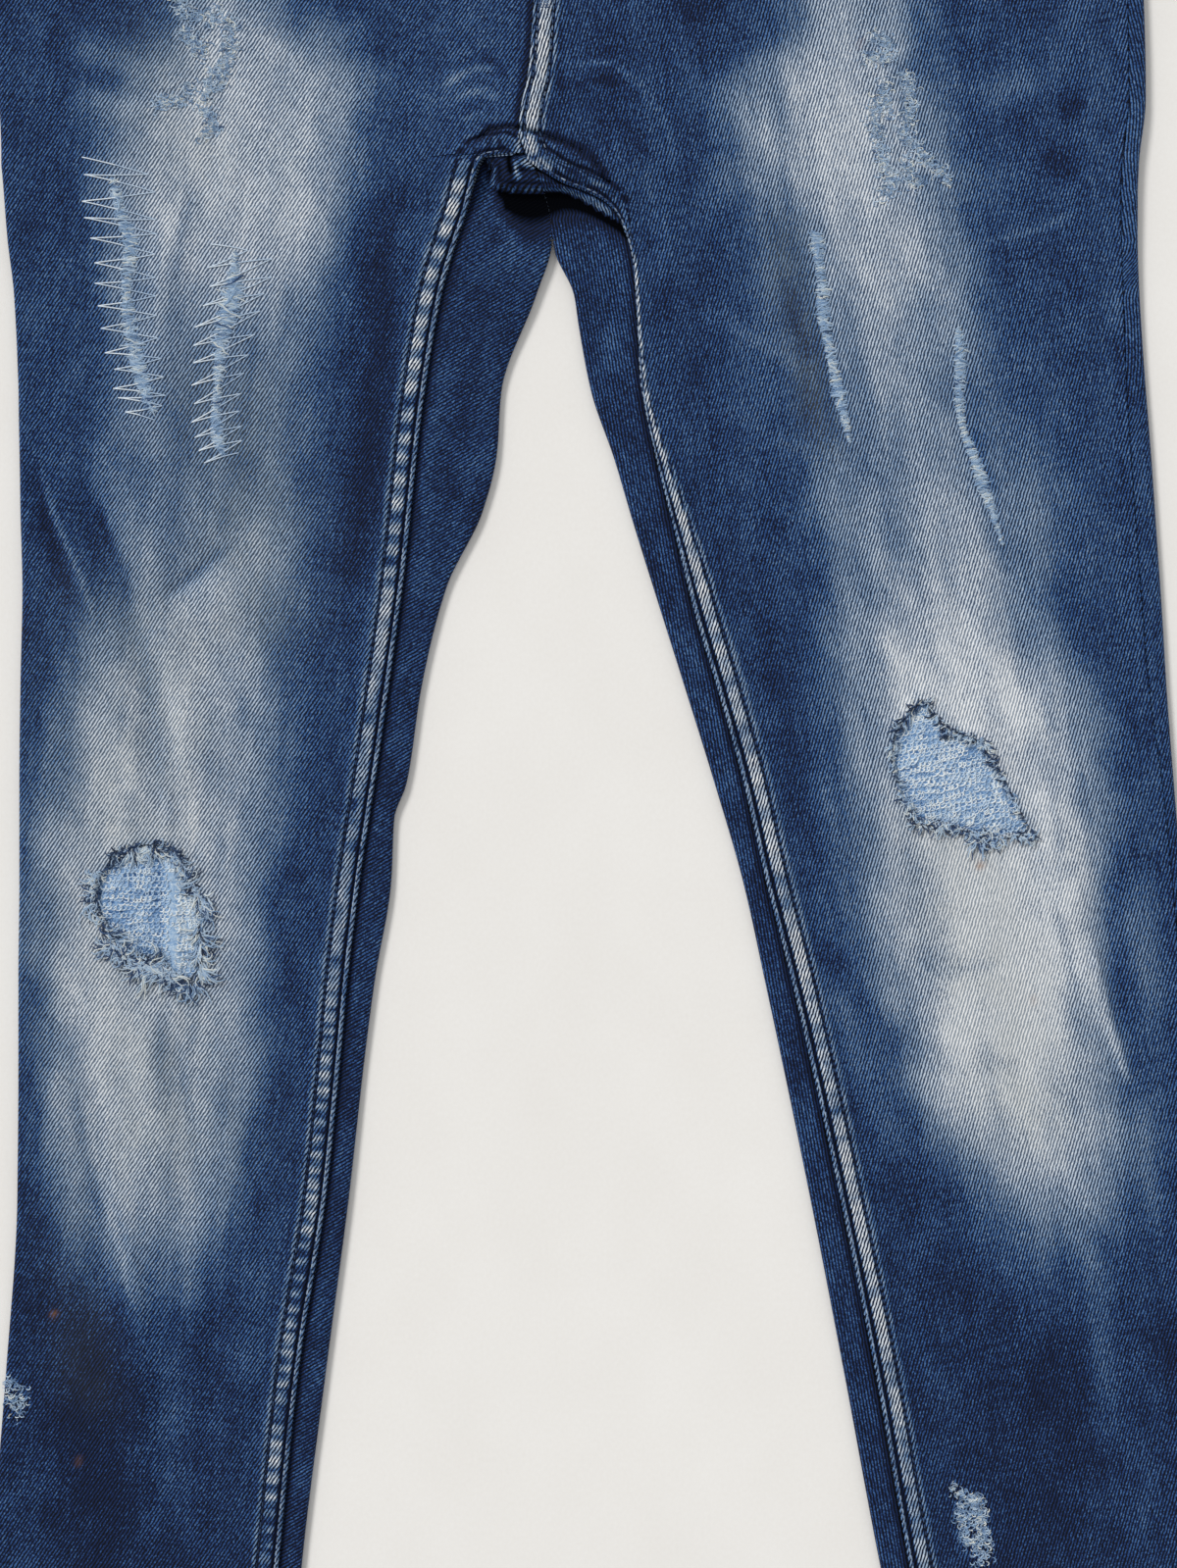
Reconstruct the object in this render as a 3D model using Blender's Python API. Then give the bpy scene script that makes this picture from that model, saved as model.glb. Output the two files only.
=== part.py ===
"""Ripped slim jeans laid flat, front up: two fronts, two backs, yokes, waistband and pockets.

The pattern is drafted in millimetres: x runs across towards the wearer's left, y up towards
the waist and z up from the surface, with the crotch point at x = y = 0. Each panel is a grid
of its outer face, one row for each cross section of the flattened tube, and gets its wall
inwards. The parent empty then centres the garment over the origin.
"""

import math

import bmesh
import bpy
import numpy as np

MM = 0.001

# Cloth
CLOTH = 1.2  # wall of the denim and of all single cloth
BAND_CLOTH = 2.4  # the waistband is doubled cloth
GAP = 0.3  # between neighbouring pieces
UNDER = CLOTH + GAP  # how far a piece lies below the panel that covers it

# Heights of the flattened garment
LEG_HEIGHT = 5.0  # top of a leg
SEAT_HEIGHT = 6.5  # top of the seat
SEAT_LIFT = 1.5  # the seat rests on its pockets and loops
SEAT_LIFT_FROM = -60.0  # level where the underside starts to rise
SEAT_LIFT_RUN = 48.0
SEAT_FROM = -50.0  # level where the leg's height starts to change to the seat's
SEAT_RUN = 90.0
BAND_HEIGHT = 7.4
EDGE = 2.5  # half width of a rolled edge
FLAP_DROP = 0.8  # the back's rolled strip lies lower than the front's felled edge
FELL_WIDTH = 12.0
FELL_SLOPE = 3.0
FELL_RISE = 0.8
DEEPEST_FOLD = -1.2

# The crossing of the seams at the crotch, which stands up
HUMP_X = -15.0
HUMP_LEVEL = 44.0
HUMP_HEIGHT = 7.0
HUMP_WIDTH = 55.0
HUMP_LENGTH = 60.0  # how slowly it falls away above
HUMP_FOOT = 14.0
HUMP_RISE = 30.0  # how fast it falls away below

# Lengths
HEM = -776.0
RIGHT_HEM_TILT = -0.08
LEFT_HEM_TILT = 0.14
TILT_FROM = -150.0  # rows turn square to the leg from here down
CROTCH = 51.4  # level where the four panels meet
WAIST = 233.0  # lower edge of the waistband at the sides
FRONT_DIP = 14.0  # the front waist is lower at its centre
BACK_RISE = 5.0
BAND_WIDTH = 40.0
YOKE_SIDE = 193.0
YOKE_CENTRE = 168.0
MOUTH_WIDTH = 110.0  # front pocket mouth, along the waistband
MOUTH_DEPTH = 80.0  # and down the side
FACING_LAP = 12.0
UNDERLAP = 4.0  # right front's edge that turns under at the side
SIDE_SEAM_EASE = 3  # the left side seam's gap on the back's side, in half gaps
BAND_EASE = 1.2  # the band's lower edge stands back where it turns at the sides
LAP_OVER = 18.0  # waistband ends past the centre front
LAP_UNDER = 22.0
LAP_CLEAR = 4.0
LAP_RAMP = 16.0

# Rows and columns
LEG_ROWS = 19
ARC_STEPS = 4
BAND_ARC_STEPS = 6
FRONT_CELLS = 8
FLAP_CELLS = 3
UNDER_CELLS = 3
YOKE_CELLS = 4
FACING_CELLS = 3
SEAT_LEVELS = (12.0, 26.0, 38.0, 46.0, CROTCH, 68.0, 90.0, 120.0, WAIST - MOUTH_DEPTH)
FLAP_LEVELS = (12.0, 26.0, 38.0, 46.0, 50.3)
BACK_LEVELS = (26.0, 68.0, 120.0, WAIST - MOUTH_DEPTH, YOKE_SIDE)  # at the side seams
MOUTH_ANGLES = (65.0, 45.0, 22.0, 0.0)  # rows of the pocket mouth, degrees along its arc

INDIGO = (0.045, 0.105, 0.265, 1.0)
LIGHT_BLUE = (0.28, 0.45, 0.70, 1.0)
TAPE_BLUE = (0.02, 0.03, 0.06, 1.0)
AGED_METAL = (0.36, 0.33, 0.28, 1.0)


def table(names, *rows):
    """A table with named columns, its rows from the lowest level up."""
    return dict(zip(names.split(), np.array(rows, float).T))


# Right leg and hip: the side edge, the inseam on top, and the rolled inner edge.
RIGHT = table(
    "level outer inseam fold",
    (-776, -287, -155, -134),
    (-650, -276, -143, -123),
    (-554, -268, -133, -111),
    (-458, -262, -120.5, -98.5),
    (-362, -262, -106.5, -87),
    (-314, -261.5, -99.5, -79),
    (-283, -261.5, -95, -77.5),
    (-266, -261.5, -92.5, -71.5),
    (-218, -261, -86, -64),
    (-170, -260, -80, -52),
    (-132, -261, -76.3, -34),
    (-103, -261.5, -73.4, -27),
    (-74, -262, -70, -25),
    (-26, -264, -62.4, -7.7),
    (0, -267, -55.2, -0.15),
    (12, -268, -50.9, -0.15),
    (26, -269, -44.6, -0.15),
    (38, -270, -39.8, -0.15),
    (46, -270, -35.4, -0.15),
    (51.4, -270, -17.3, -0.15),
    (118, -274, -17.3, -0.15),
    (160, -269, -17.3, -0.15),
    (200, -256, -17.3, -0.15),
    (233, -241, -17.3, -0.15),
    (280, -225, -17.3, -0.15),
)

# Left leg and hip: as the right, with the side seam lying on top.
LEFT = table(
    "level fold inseam outseam outer",
    (-776, 188.5, 212.5, 342, 347.5),
    (-650, 161, 186, 330.5, 336),
    (-554, 143, 169.4, 322.5, 328),
    (-458, 124.3, 149.3, 314, 319.7),
    (-362, 104.2, 128.2, 307.5, 313),
    (-314, 93.6, 115.7, 303.5, 309),
    (-266, 79.7, 105.1, 298.6, 305),
    (-218, 64.8, 90.7, 292, 301.4),
    (-170, 50, 75.4, 288, 298.6),
    (-137, 39.4, 64.8, 285.6, 296.2),
    (-103, 29.3, 52.8, 283.2, 293.8),
    (-74, 19.2, 44.6, 281.3, 291.4),
    (-26, 10.6, 40.3, 279.4, 288),
    (0, 0.15, 37.4, 278.4, 287),
    (12, 0.15, 32, 278.2, 287),
    (26, 0.15, 23, 278, 287),
    (38, 0.15, 13, 278.5, 287.5),
    (46, 0.15, 0, 279.5, 288.5),
    (51.4, 0.15, -17.3, 280.5, 289.5),
    (70, 0.15, -17.3, 282, 291),
    (118, 0.15, -17.3, 281.5, 290),
    (160, 0.15, -17.3, 277, 285),
    (200, 0.15, -17.3, 264, 272),
    (233, 0.15, -17.3, 249, 257),
    (280, 0.15, -17.3, 233, 241),
)

CENTRE = table(
    "level front back",
    (0, -17.3, 0),
    (51.4, -17.3, -4),
    (60, -15.8, -4),
    (84, -11, -3),
    (113, -9.6, -2),
    (160, -5, 2),
    (219, 3, 5),
    (280, 6, 6),
)

# The seat seam where it comes round the crotch and lies on top.
VALLEY = table("level x", (0, 0), (14, -1.4), (26, -5), (38, -12), (46, -16.4), (52, -17.4))

# The largest folds of the fronts, from one end to the other; up is positive.
FOLDS = (
    dict(start=(-182, 26), end=(-191, -94), width=15, height=1.1),
    dict(start=(-232, -110), end=(-200, -190), width=13, height=-0.9),
    dict(start=(-214, -120), end=(-178, -240), width=13, height=1.2),
    dict(start=(-200, -195), end=(-184, -290), width=12, height=-0.8),
    dict(start=(-188, -365), end=(-170, -490), width=13, height=1.1),
    dict(start=(-226, -400), end=(-214, -500), width=14, height=0.8),
    dict(start=(-196, -530), end=(-190, -640), width=16, height=1.0),
    dict(start=(-150, -480), end=(-152, -640), width=15, height=0.9),
    dict(start=(219, -142), end=(234, -196), width=14, height=-0.9),
    dict(start=(236, -270), end=(258, -360), width=14, height=1.2),
    dict(start=(262, -360), end=(284, -420), width=12, height=1.1),
    dict(start=(276, -270), end=(279, -440), width=12, height=-0.9),
    dict(start=(70, 60), end=(86, 110), width=16, height=0.8),
    dict(start=(226, -480), end=(262, -640), width=17, height=1.0),
)

# Torn knees: distances from the middle of the tear to its edge, evenly round it.
KNEES = (
    dict(side="right", middle=(-197, -331), patch=(96, 118),
         reach=(29.5, 30, 29.5, 33.5, 36, 33, 30, 27, 23, 26.5, 30.5, 24, 43, 30)),
    dict(side="left", middle=(198, -262), patch=(100, 112),
         reach=(23, 20, 20.5, 20, 24, 39, 35, 30, 29, 32, 28, 31.5, 38, 38)),
)
CUTTER_FOOT = -10.0
CUTTER_HEIGHT = 40.0
BACKING_DROP = UNDER + 0.4  # patches and zip lie this far below the outer face

BACK_POCKETS = (dict(side="right", x=-130), dict(side="left", x=138))
POCKET_WIDTH = 145.0
POCKET_FOOT_WIDTH = 128.0
POCKET_TOP = 157.0
POCKET_FOOT = 28.0
POCKET_POINT = 10.0

FRONT_LOOPS = (dict(name="belt_loop_front_right", x=-92), dict(name="belt_loop_front_left", x=112))
BACK_LOOPS = (
    dict(name="belt_loop_back_right", x=-150),
    dict(name="belt_loop_back_centre", x=6),
    dict(name="belt_loop_back_left", x=162),
)
LOOP_WIDTH = 11.0
LOOP_TAIL = 8.0

ZIP_WIDTH = 26.0
ZIP_FROM = 72.0
ZIP_TO = 212.0

BUTTON_RADIUS = 8.5
BUTTON_SHANK = 3.4
BUTTON_LIFT = 1.0
BUTTON_DEPTH = 2.4


def read(data, column, level):
    """A column's value at a level, on a monotone cubic through the table's rows."""
    levels = data["level"]
    values = data[column]
    steps = np.diff(values) / np.diff(levels)
    before = steps[:-1]
    after = steps[1:]
    total = before + after
    same_way = before * after > 0
    means = np.where(same_way, 2 * before * after / np.where(same_way, total, 1), 0)
    slopes = np.concatenate([steps[:1], means, steps[-1:]])
    i = int(np.clip(np.searchsorted(levels, level) - 1, 0, len(levels) - 2))
    span = levels[i + 1] - levels[i]
    t = float(np.clip((level - levels[i]) / span, 0, 1))
    start = (1 + 2 * t) * (1 - t) ** 2 * values[i] + t * (1 - t) ** 2 * span * slopes[i]
    end = t * t * (3 - 2 * t) * values[i + 1] + t * t * (t - 1) * span * slopes[i + 1]
    return start + end


def smooth(t):
    """0 below 0, 1 above 1, and an even rise between."""
    t = min(max(t, 0.0), 1.0)
    return t * t * (3 - 2 * t)


def underside(y):
    """Height of the garment's underside: on the surface at the legs, lifted at the seat."""
    return SEAT_LIFT * smooth((y - SEAT_LIFT_FROM) / SEAT_LIFT_RUN)


def crotch_hump(x, y):
    """The thick crossing of the seams stands up and falls away steeply below."""
    across = math.exp(-(((x - HUMP_X) / HUMP_WIDTH) ** 2))
    if y < HUMP_LEVEL:
        along = smooth((y - HUMP_FOOT) / HUMP_RISE)
    else:
        along = math.exp(-(((y - HUMP_LEVEL) / HUMP_LENGTH) ** 2))
    return HUMP_HEIGHT * across * along


def fold_height(x, y):
    """Sum of the folds: each is a soft ridge or trough that dies out at its ends."""
    total = 0.0
    for fold in FOLDS:
        (x0, y0), (x1, y1) = fold["start"], fold["end"]
        length = math.hypot(x1 - x0, y1 - y0)
        along = ((x - x0) * (x1 - x0) + (y - y0) * (y1 - y0)) / length**2
        across = ((x - x0) * (y1 - y0) - (y - y0) * (x1 - x0)) / length
        ends = smooth(min(along + 0.3, 1.3 - along) / 0.5)
        total += fold["height"] * ends * math.exp(-((across / fold["width"]) ** 2))
    return max(total, DEEPEST_FOLD)


def topside(x, y):
    """Height of the fronts' outer face."""
    base = LEG_HEIGHT + (SEAT_HEIGHT - LEG_HEIGHT) * smooth((y - SEAT_FROM) / SEAT_RUN)
    return base + fold_height(x, y) + crotch_hump(x, y)


class Row:
    """One cross section: a line across the garment, level or sloped."""

    def __init__(self, x, y, slope=0.0):
        self.x = x
        self.y = y
        self.slope = slope

    def level(self, x):
        return self.y + self.slope * (x - self.x)

    def meet(self, data, column, gap_side=0):
        """x where the row crosses an edge, half a seam gap to one side, square to the edge."""
        x = read(data, column, self.y)
        for _ in range(4):
            x = read(data, column, self.level(x))
        y = self.level(x)
        lean = (read(data, column, y + 3) - read(data, column, y - 3)) / 6
        return x + gap_side * GAP / 2 * math.hypot(1, lean)


def leg_rows(data, inner, tilt):
    """Rows from the hem to the crotch point, turning square to the leg lower down."""
    rows = []
    for level in np.linspace(HEM, 0, LEG_ROWS):
        middle = (read(data, inner, level) + read(data, "outer", level)) / 2
        turn = tilt * float(np.clip((TILT_FROM - level) / (TILT_FROM - HEM), 0, 1))
        rows.append(Row(middle, level, turn))
    return rows


def sloped_row(x_side, y_side, x_centre, y_centre):
    return Row(x_side, y_side, (y_centre - y_side) / (x_centre - x_side))


def top_span(row, start, end, cells, drop=0.0):
    """Points along the fronts' outer face."""
    points = []
    for x in np.linspace(start, end, cells + 1):
        y = row.level(x)
        points.append((x, y, topside(x, y) - drop))
    return points


def felled_span(row, edge, end, cells):
    """Top points from a felled edge: the doubled seam first, then the plain cloth."""
    way = 1 if end > edge else -1
    points = []
    for x in (edge, edge + way * FELL_WIDTH):
        y = row.level(x)
        points.append((x, y, topside(x, y) + FELL_RISE))
    return points + top_span(row, edge + way * (FELL_WIDTH + FELL_SLOPE), end, cells)


def arc_span(row, edge, side, drop=0.0):
    """Points round a rolled edge, from its top to its underside, without its first."""
    x_flat = edge - side * EDGE
    high = topside(x_flat, row.level(x_flat)) - drop
    low = underside(row.level(x_flat))
    points = []
    for angle in np.linspace(0, math.pi, ARC_STEPS + 1)[1:]:
        x = x_flat + side * EDGE * math.sin(angle)
        z = (high + low) / 2 + (high - low) / 2 * math.cos(angle)
        points.append((x, row.level(x), z))
    return points


def under_span(row, start, end, cells):
    """Points along the underside."""
    points = []
    for x in np.linspace(start, end, cells + 1):
        y = row.level(x)
        points.append((x, y, underside(y)))
    return points


def material(name, colour, roughness, metallic=0.0):
    made = bpy.data.materials.new(name)
    made.use_nodes = True
    shader = made.node_tree.nodes["Principled BSDF"]
    shader.inputs["Base Color"].default_value = colour
    shader.inputs["Roughness"].default_value = roughness
    shader.inputs["Metallic"].default_value = metallic
    return made


def new_object(name, mesh_in_progress, finish, garment):
    mesh = bpy.data.meshes.new(name)
    mesh_in_progress.to_mesh(mesh)
    mesh_in_progress.free()
    made = bpy.data.objects.new(name, mesh)
    bpy.context.scene.collection.objects.link(made)
    made.parent = garment
    if finish is not None:
        mesh.materials.append(finish)
    mesh.shade_smooth()
    return made


def cloth(name, grid, finish, garment, left_out=(), thickness=CLOTH, faces_down=False):
    """A cloth wall. grid is its outer face, row by row; the wall goes inwards from it.

    left_out holds the (row, column) cells that are open. faces_down is for a grid whose
    first cell belongs to the underside.
    """
    work = bmesh.new()
    cells = []
    for r in range(len(grid) - 1):
        for c in range(len(grid[0]) - 1):
            if (r, c) not in left_out:
                cells.append((r, c))
    corners = {(r + dr, c + dc) for r, c in cells for dr in (0, 1) for dc in (0, 1)}
    points = {key: work.verts.new(np.array(grid[key[0]][key[1]]) * MM) for key in sorted(corners)}
    for r, c in cells:
        work.faces.new((points[r, c], points[r, c + 1], points[r + 1, c + 1], points[r + 1, c]))
    work.faces.ensure_lookup_table()
    work.normal_update()
    if (work.faces[0].normal.z > 0) == faces_down:
        bmesh.ops.reverse_faces(work, faces=work.faces[:])
    made = new_object(name, work, finish, garment)
    wall = made.modifiers.new("wall", "SOLIDIFY")
    wall.thickness = thickness * MM
    wall.offset = -1
    wall.use_even_offset = True
    made.data.set_sharp_from_angle(angle=math.radians(40))
    return made


def mouth_rows(centre_level, data, side_edge):
    """(row, inward distance of the pocket mouth) from the side seam up to the waistband."""
    rows = []
    foot = WAIST - MOUTH_DEPTH
    for angle in MOUTH_ANGLES:
        share = 1 - math.sin(math.radians(angle))
        y_side = foot + share * MOUTH_DEPTH
        y_centre = foot + share * (centre_level - foot)
        x_side = read(data, side_edge, y_side)
        x_centre = read(CENTRE, "front", y_centre)
        inward = MOUTH_WIDTH * math.cos(math.radians(angle))
        rows.append((sloped_row(x_side, y_side, x_centre, y_centre), inward))
    return rows


def fronts(finish, garment):
    """Both fronts: the right one rolls under at its side, the left ends at its side seam."""
    right_rows = leg_rows(RIGHT, "fold", RIGHT_HEM_TILT) + [Row(0, y) for y in SEAT_LEVELS]
    left_rows = leg_rows(LEFT, "fold", LEFT_HEM_TILT) + [Row(0, y) for y in SEAT_LEVELS]
    right = []
    for row in right_rows:
        inner = inner_edge(row, RIGHT, -1)
        outer = row.meet(RIGHT, "outer")
        points = felled_span(row, inner, outer + EDGE, FRONT_CELLS) + arc_span(row, outer, -1)
        turned = points[-1][0]
        right.append(points + under_span(row, turned, turned + UNDERLAP, 1)[1:])
    open_from = len(right) - 1
    for row, inward in mouth_rows(WAIST - FRONT_DIP, RIGHT, "outer"):
        inner = row.meet(CENTRE, "front", -1)
        mouth = row.meet(RIGHT, "outer") + inward
        points = felled_span(row, inner, mouth, FRONT_CELLS)
        right.append(points + [points[-1]] * (ARC_STEPS + 1))
    columns = len(right[0]) - 1
    open_cells = {
        (r, c)
        for r in range(open_from, len(right) - 1)
        for c in range(columns - ARC_STEPS - 1, columns)
    }
    cloth("front_right", right, finish, garment, left_out=open_cells)

    left = []
    for row in left_rows:
        inner = inner_edge(row, LEFT, 1)
        left.append(felled_span(row, inner, row.meet(LEFT, "outseam", -1), FRONT_CELLS + 1))
    for row, inward in mouth_rows(WAIST - FRONT_DIP, LEFT, "outseam"):
        inner = row.meet(CENTRE, "front", 1)
        left.append(felled_span(row, inner, row.meet(LEFT, "outseam") - inward, FRONT_CELLS + 1))
    cloth("front_left", left, finish, garment)


def inner_edge(row, data, way):
    """The front's inner edge: the inseam up to the crotch, the fly above it."""
    if row.y > CROTCH:
        return row.meet(CENTRE, "front", way)
    return row.meet(data, "inseam", way)


def seat_row(share, data, side_edge, foot=(0.0, 0.0), head=(YOKE_SIDE, YOKE_CENTRE)):
    """A row of the seat, sloping from the side to the centre back."""
    y_side = foot[0] + share * (head[0] - foot[0])
    y_centre = foot[1] + share * (head[1] - foot[1])
    x_side = read(data, side_edge, y_side)
    return sloped_row(x_side, y_side, read(CENTRE, "back", y_centre), y_centre)


def backs(finish, garment):
    """Both backs: under the leg, round its inner edge and up to the inseam on top.

    Above the crotch point the under part goes on to the yoke and the top part, apart
    from it, runs up between the seat seam and the inseam to the crotch.
    """
    right = []
    for row in leg_rows(RIGHT, "fold", RIGHT_HEM_TILT):
        side = row.meet(RIGHT, "outer") + EDGE + UNDERLAP + GAP
        fold = row.meet(RIGHT, "fold")
        roll = arc_span(row, fold, 1, FLAP_DROP)[::-1]
        flat_end = roll[0][0]
        flap = top_span(row, flat_end, row.meet(RIGHT, "inseam", 1), FLAP_CELLS, FLAP_DROP)
        right.append(under_span(row, side, flat_end, UNDER_CELLS)[:-1] + roll + flap)
    first_open = len(right) - 1
    for side_level, level in zip(BACK_LEVELS, FLAP_LEVELS):
        under = seat_row(side_level / YOKE_SIDE, RIGHT, "outer")
        side = under.meet(RIGHT, "outer") + EDGE + UNDERLAP + GAP
        centre = under.meet(CENTRE, "back", -1)
        over = Row(0, level)
        start, end = over.meet(VALLEY, "x", -1), over.meet(RIGHT, "inseam", 1)
        flap = top_span(over, start, end, FLAP_CELLS, FLAP_DROP)
        span = under_span(under, side, centre, UNDER_CELLS)
        right.append(span + [span[-1]] * (ARC_STEPS - 1) + flap)
    roll_cells = range(UNDER_CELLS, UNDER_CELLS + ARC_STEPS)
    open_cells = {(r, c) for r in range(first_open, len(right) - 1) for c in roll_cells}
    cloth("back_right", right, finish, garment, left_out=open_cells, faces_down=True)

    left = []
    for row in leg_rows(LEFT, "fold", LEFT_HEM_TILT):
        fold = row.meet(LEFT, "fold")
        roll = arc_span(row, fold, -1, FLAP_DROP)
        flat_start = roll[-1][0]
        flap = top_span(row, row.meet(LEFT, "inseam", -1), flat_start, FLAP_CELLS, FLAP_DROP)
        left.append(flap + roll[:-1] + side_wrap(row, flat_start))
    for side_level, level in zip(BACK_LEVELS, FLAP_LEVELS):
        under = seat_row(side_level / YOKE_SIDE, LEFT, "outer")
        over = Row(0, level)
        start, end = over.meet(LEFT, "inseam", -1), over.meet(VALLEY, "x", 1)
        flap = top_span(over, start, end, FLAP_CELLS, FLAP_DROP)
        wrap = side_wrap(under, under.meet(CENTRE, "back", 1))
        left.append(flap + [flap[-1]] * (ARC_STEPS - 1) + wrap)
    roll_cells = range(FLAP_CELLS, FLAP_CELLS + ARC_STEPS)
    open_cells = {(r, c) for r in range(first_open, len(left) - 1) for c in roll_cells}
    cloth("back_left", left, finish, garment, left_out=open_cells)


def side_wrap(row, start):
    """The left back from its inner side, under the hip or leg and up to the side seam."""
    outer = row.meet(LEFT, "outer")
    roll = arc_span(row, outer, 1)[::-1]
    flap = top_span(row, outer - EDGE, row.meet(LEFT, "outseam", SIDE_SEAM_EASE), 1)
    return under_span(row, start, outer - EDGE, UNDER_CELLS)[:-1] + roll + flap


def yokes(finish, garment):
    """Between the backs and the waistband, deeper at the centre than at the sides."""
    foot = (YOKE_SIDE + GAP, YOKE_CENTRE + GAP)
    head = (WAIST, WAIST + BACK_RISE)
    right = []
    left = []
    for share in (0.0, 0.5, 1.0):
        row = seat_row(share, RIGHT, "outer", foot, head)
        side = row.meet(RIGHT, "outer") + EDGE + UNDERLAP + GAP
        right.append(under_span(row, side, row.meet(CENTRE, "back", -1), YOKE_CELLS))
        row = seat_row(share, LEFT, "outer", foot, head)
        left.append(side_wrap(row, row.meet(CENTRE, "back", 1)))
    cloth("yoke_right", right, finish, garment, faces_down=True)
    cloth("yoke_left", left, finish, garment, faces_down=True)


def pocket_facings(finish, garment):
    """The cloth that shows in the pocket mouths, lapped under the fronts."""
    foot = Row(0, WAIST - MOUTH_DEPTH + GAP)
    right = []
    for row, inward in [(foot, 0.0)] + mouth_rows(WAIST - FRONT_DIP, RIGHT, "outer"):
        outer = row.meet(RIGHT, "outer")
        points = top_span(row, outer + inward + FACING_LAP, outer + EDGE, FACING_CELLS, UNDER)
        points += arc_span(row, outer, -1, UNDER)
        turned = points[-1][0]
        right.append(points + under_span(row, turned, turned + UNDERLAP, 1)[1:])
    cloth("pocket_facing_right", right, finish, garment)
    left = []
    for row, inward in [(foot, 0.0)] + mouth_rows(WAIST - FRONT_DIP, LEFT, "outseam"):
        seam = row.meet(LEFT, "outseam", -1)
        left.append(top_span(row, seam - inward - FACING_LAP, seam, FACING_CELLS, UNDER))
    cloth("pocket_facing_left", left, finish, garment)


def band_level(x, back):
    """Lower edge of the waistband: it dips at the centre front and rises at the back."""
    x_centre = read(CENTRE, "front", WAIST)
    x_side = read(RIGHT, "outer", WAIST) if x < x_centre else read(LEFT, "outer", WAIST)
    share = 1 - (x - x_centre) / (x_side - x_centre)
    return WAIST + GAP + share * (BACK_RISE if back else -FRONT_DIP)


def waistband(finish, garment):
    """One band all round: right front, round the side, back, round the side, left front."""
    radius = (BAND_HEIGHT - SEAT_LIFT) / 2
    middle = (BAND_HEIGHT + SEAT_LIFT) / 2
    angles = np.linspace(0, math.pi, BAND_ARC_STEPS + 1)[1:-1]
    grid = []
    for rise in (0.0, BAND_WIDTH / 2, BAND_WIDTH):
        x_right = read(RIGHT, "outer", WAIST + rise) + radius
        x_left = read(LEFT, "outer", WAIST + rise) - radius
        x_centre = read(CENTRE, "front", WAIST + rise)
        ease = BAND_EASE if rise == 0 else 0.0
        level = WAIST + GAP + rise + ease
        points = []
        for x in np.linspace(x_centre + LAP_UNDER, x_right, 7)[:-1]:
            points.append((x, band_level(x, False) + rise, BAND_HEIGHT))
        points.append((x_right, level, BAND_HEIGHT))
        for angle in angles:
            x = x_right - radius * math.sin(angle)
            points.append((x, level, middle + radius * math.cos(angle)))
        points.append((x_right, level, SEAT_LIFT))
        for x in np.linspace(x_right, x_left, 9)[1:-1]:
            points.append((x, band_level(x, True) + rise, SEAT_LIFT))
        points.append((x_left, level, SEAT_LIFT))
        for angle in angles[::-1]:
            x = x_left + radius * math.sin(angle)
            points.append((x, level, middle + radius * math.cos(angle)))
        points.append((x_left, level, BAND_HEIGHT))
        lap_start = x_centre + LAP_UNDER + LAP_CLEAR + LAP_RAMP
        lap_end = lap_start - LAP_RAMP
        left_xs = list(np.linspace(x_left, lap_start, 5)[1:])
        left_xs += list(np.linspace(lap_start, lap_end, 4)[1:])
        left_xs += list(np.linspace(lap_end, x_centre - LAP_OVER, 3)[1:])
        for x in left_xs:
            lift = (BAND_CLOTH + GAP) * smooth((lap_start - x) / LAP_RAMP)
            points.append((x, band_level(x, False) + rise, BAND_HEIGHT + lift))
        grid.append(points)
    cloth("waistband", grid, finish, garment, thickness=BAND_CLOTH)


def strip(name, x, height, from_y, to_y, width, finish, garment, faces_down=False):
    """A level strip of cloth along y, its outer face at a height."""
    ys = np.linspace(from_y, to_y, 4)
    grid = [[(x - width / 2, y, height), (x + width / 2, y, height)] for y in ys]
    return cloth(name, grid, finish, garment, faces_down=faces_down)


def belt_loops(finish, garment):
    """Front loops lie on the band; the garment rests on the back ones."""
    for loop in FRONT_LOOPS:
        low = band_level(loop["x"], False)
        top = BAND_HEIGHT + UNDER
        strip(loop["name"], loop["x"], top, low - LOOP_TAIL, low + BAND_WIDTH - 1,
              LOOP_WIDTH, finish, garment)
    for loop in BACK_LOOPS:
        low = band_level(loop["x"], True)
        strip(loop["name"], loop["x"], 0.0, low - LOOP_TAIL, low + BAND_WIDTH - 1,
              LOOP_WIDTH, finish, garment, faces_down=True)


def back_pockets(finish, garment):
    """Patch pockets under the seat, with a pointed foot."""
    for pocket in BACK_POCKETS:
        x = pocket["x"]
        outline = (
            (x - POCKET_WIDTH / 2, POCKET_TOP),
            (x - POCKET_FOOT_WIDTH / 2, POCKET_FOOT),
            (x, POCKET_POINT),
            (x + POCKET_FOOT_WIDTH / 2, POCKET_FOOT),
            (x + POCKET_WIDTH / 2, POCKET_TOP),
        )
        work = bmesh.new()
        ring = [work.verts.new((px * MM, py * MM, 0.0)) for px, py in outline]
        work.faces.new(ring)
        work.normal_update()
        if work.faces[:][0].normal.z > 0:
            bmesh.ops.reverse_faces(work, faces=work.faces[:])
        made = new_object("back_pocket_" + pocket["side"], work, finish, garment)
        wall = made.modifiers.new("wall", "SOLIDIFY")
        wall.thickness = CLOTH * MM
        wall.offset = -1
        made.data.set_sharp_from_angle(angle=math.radians(40))


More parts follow.
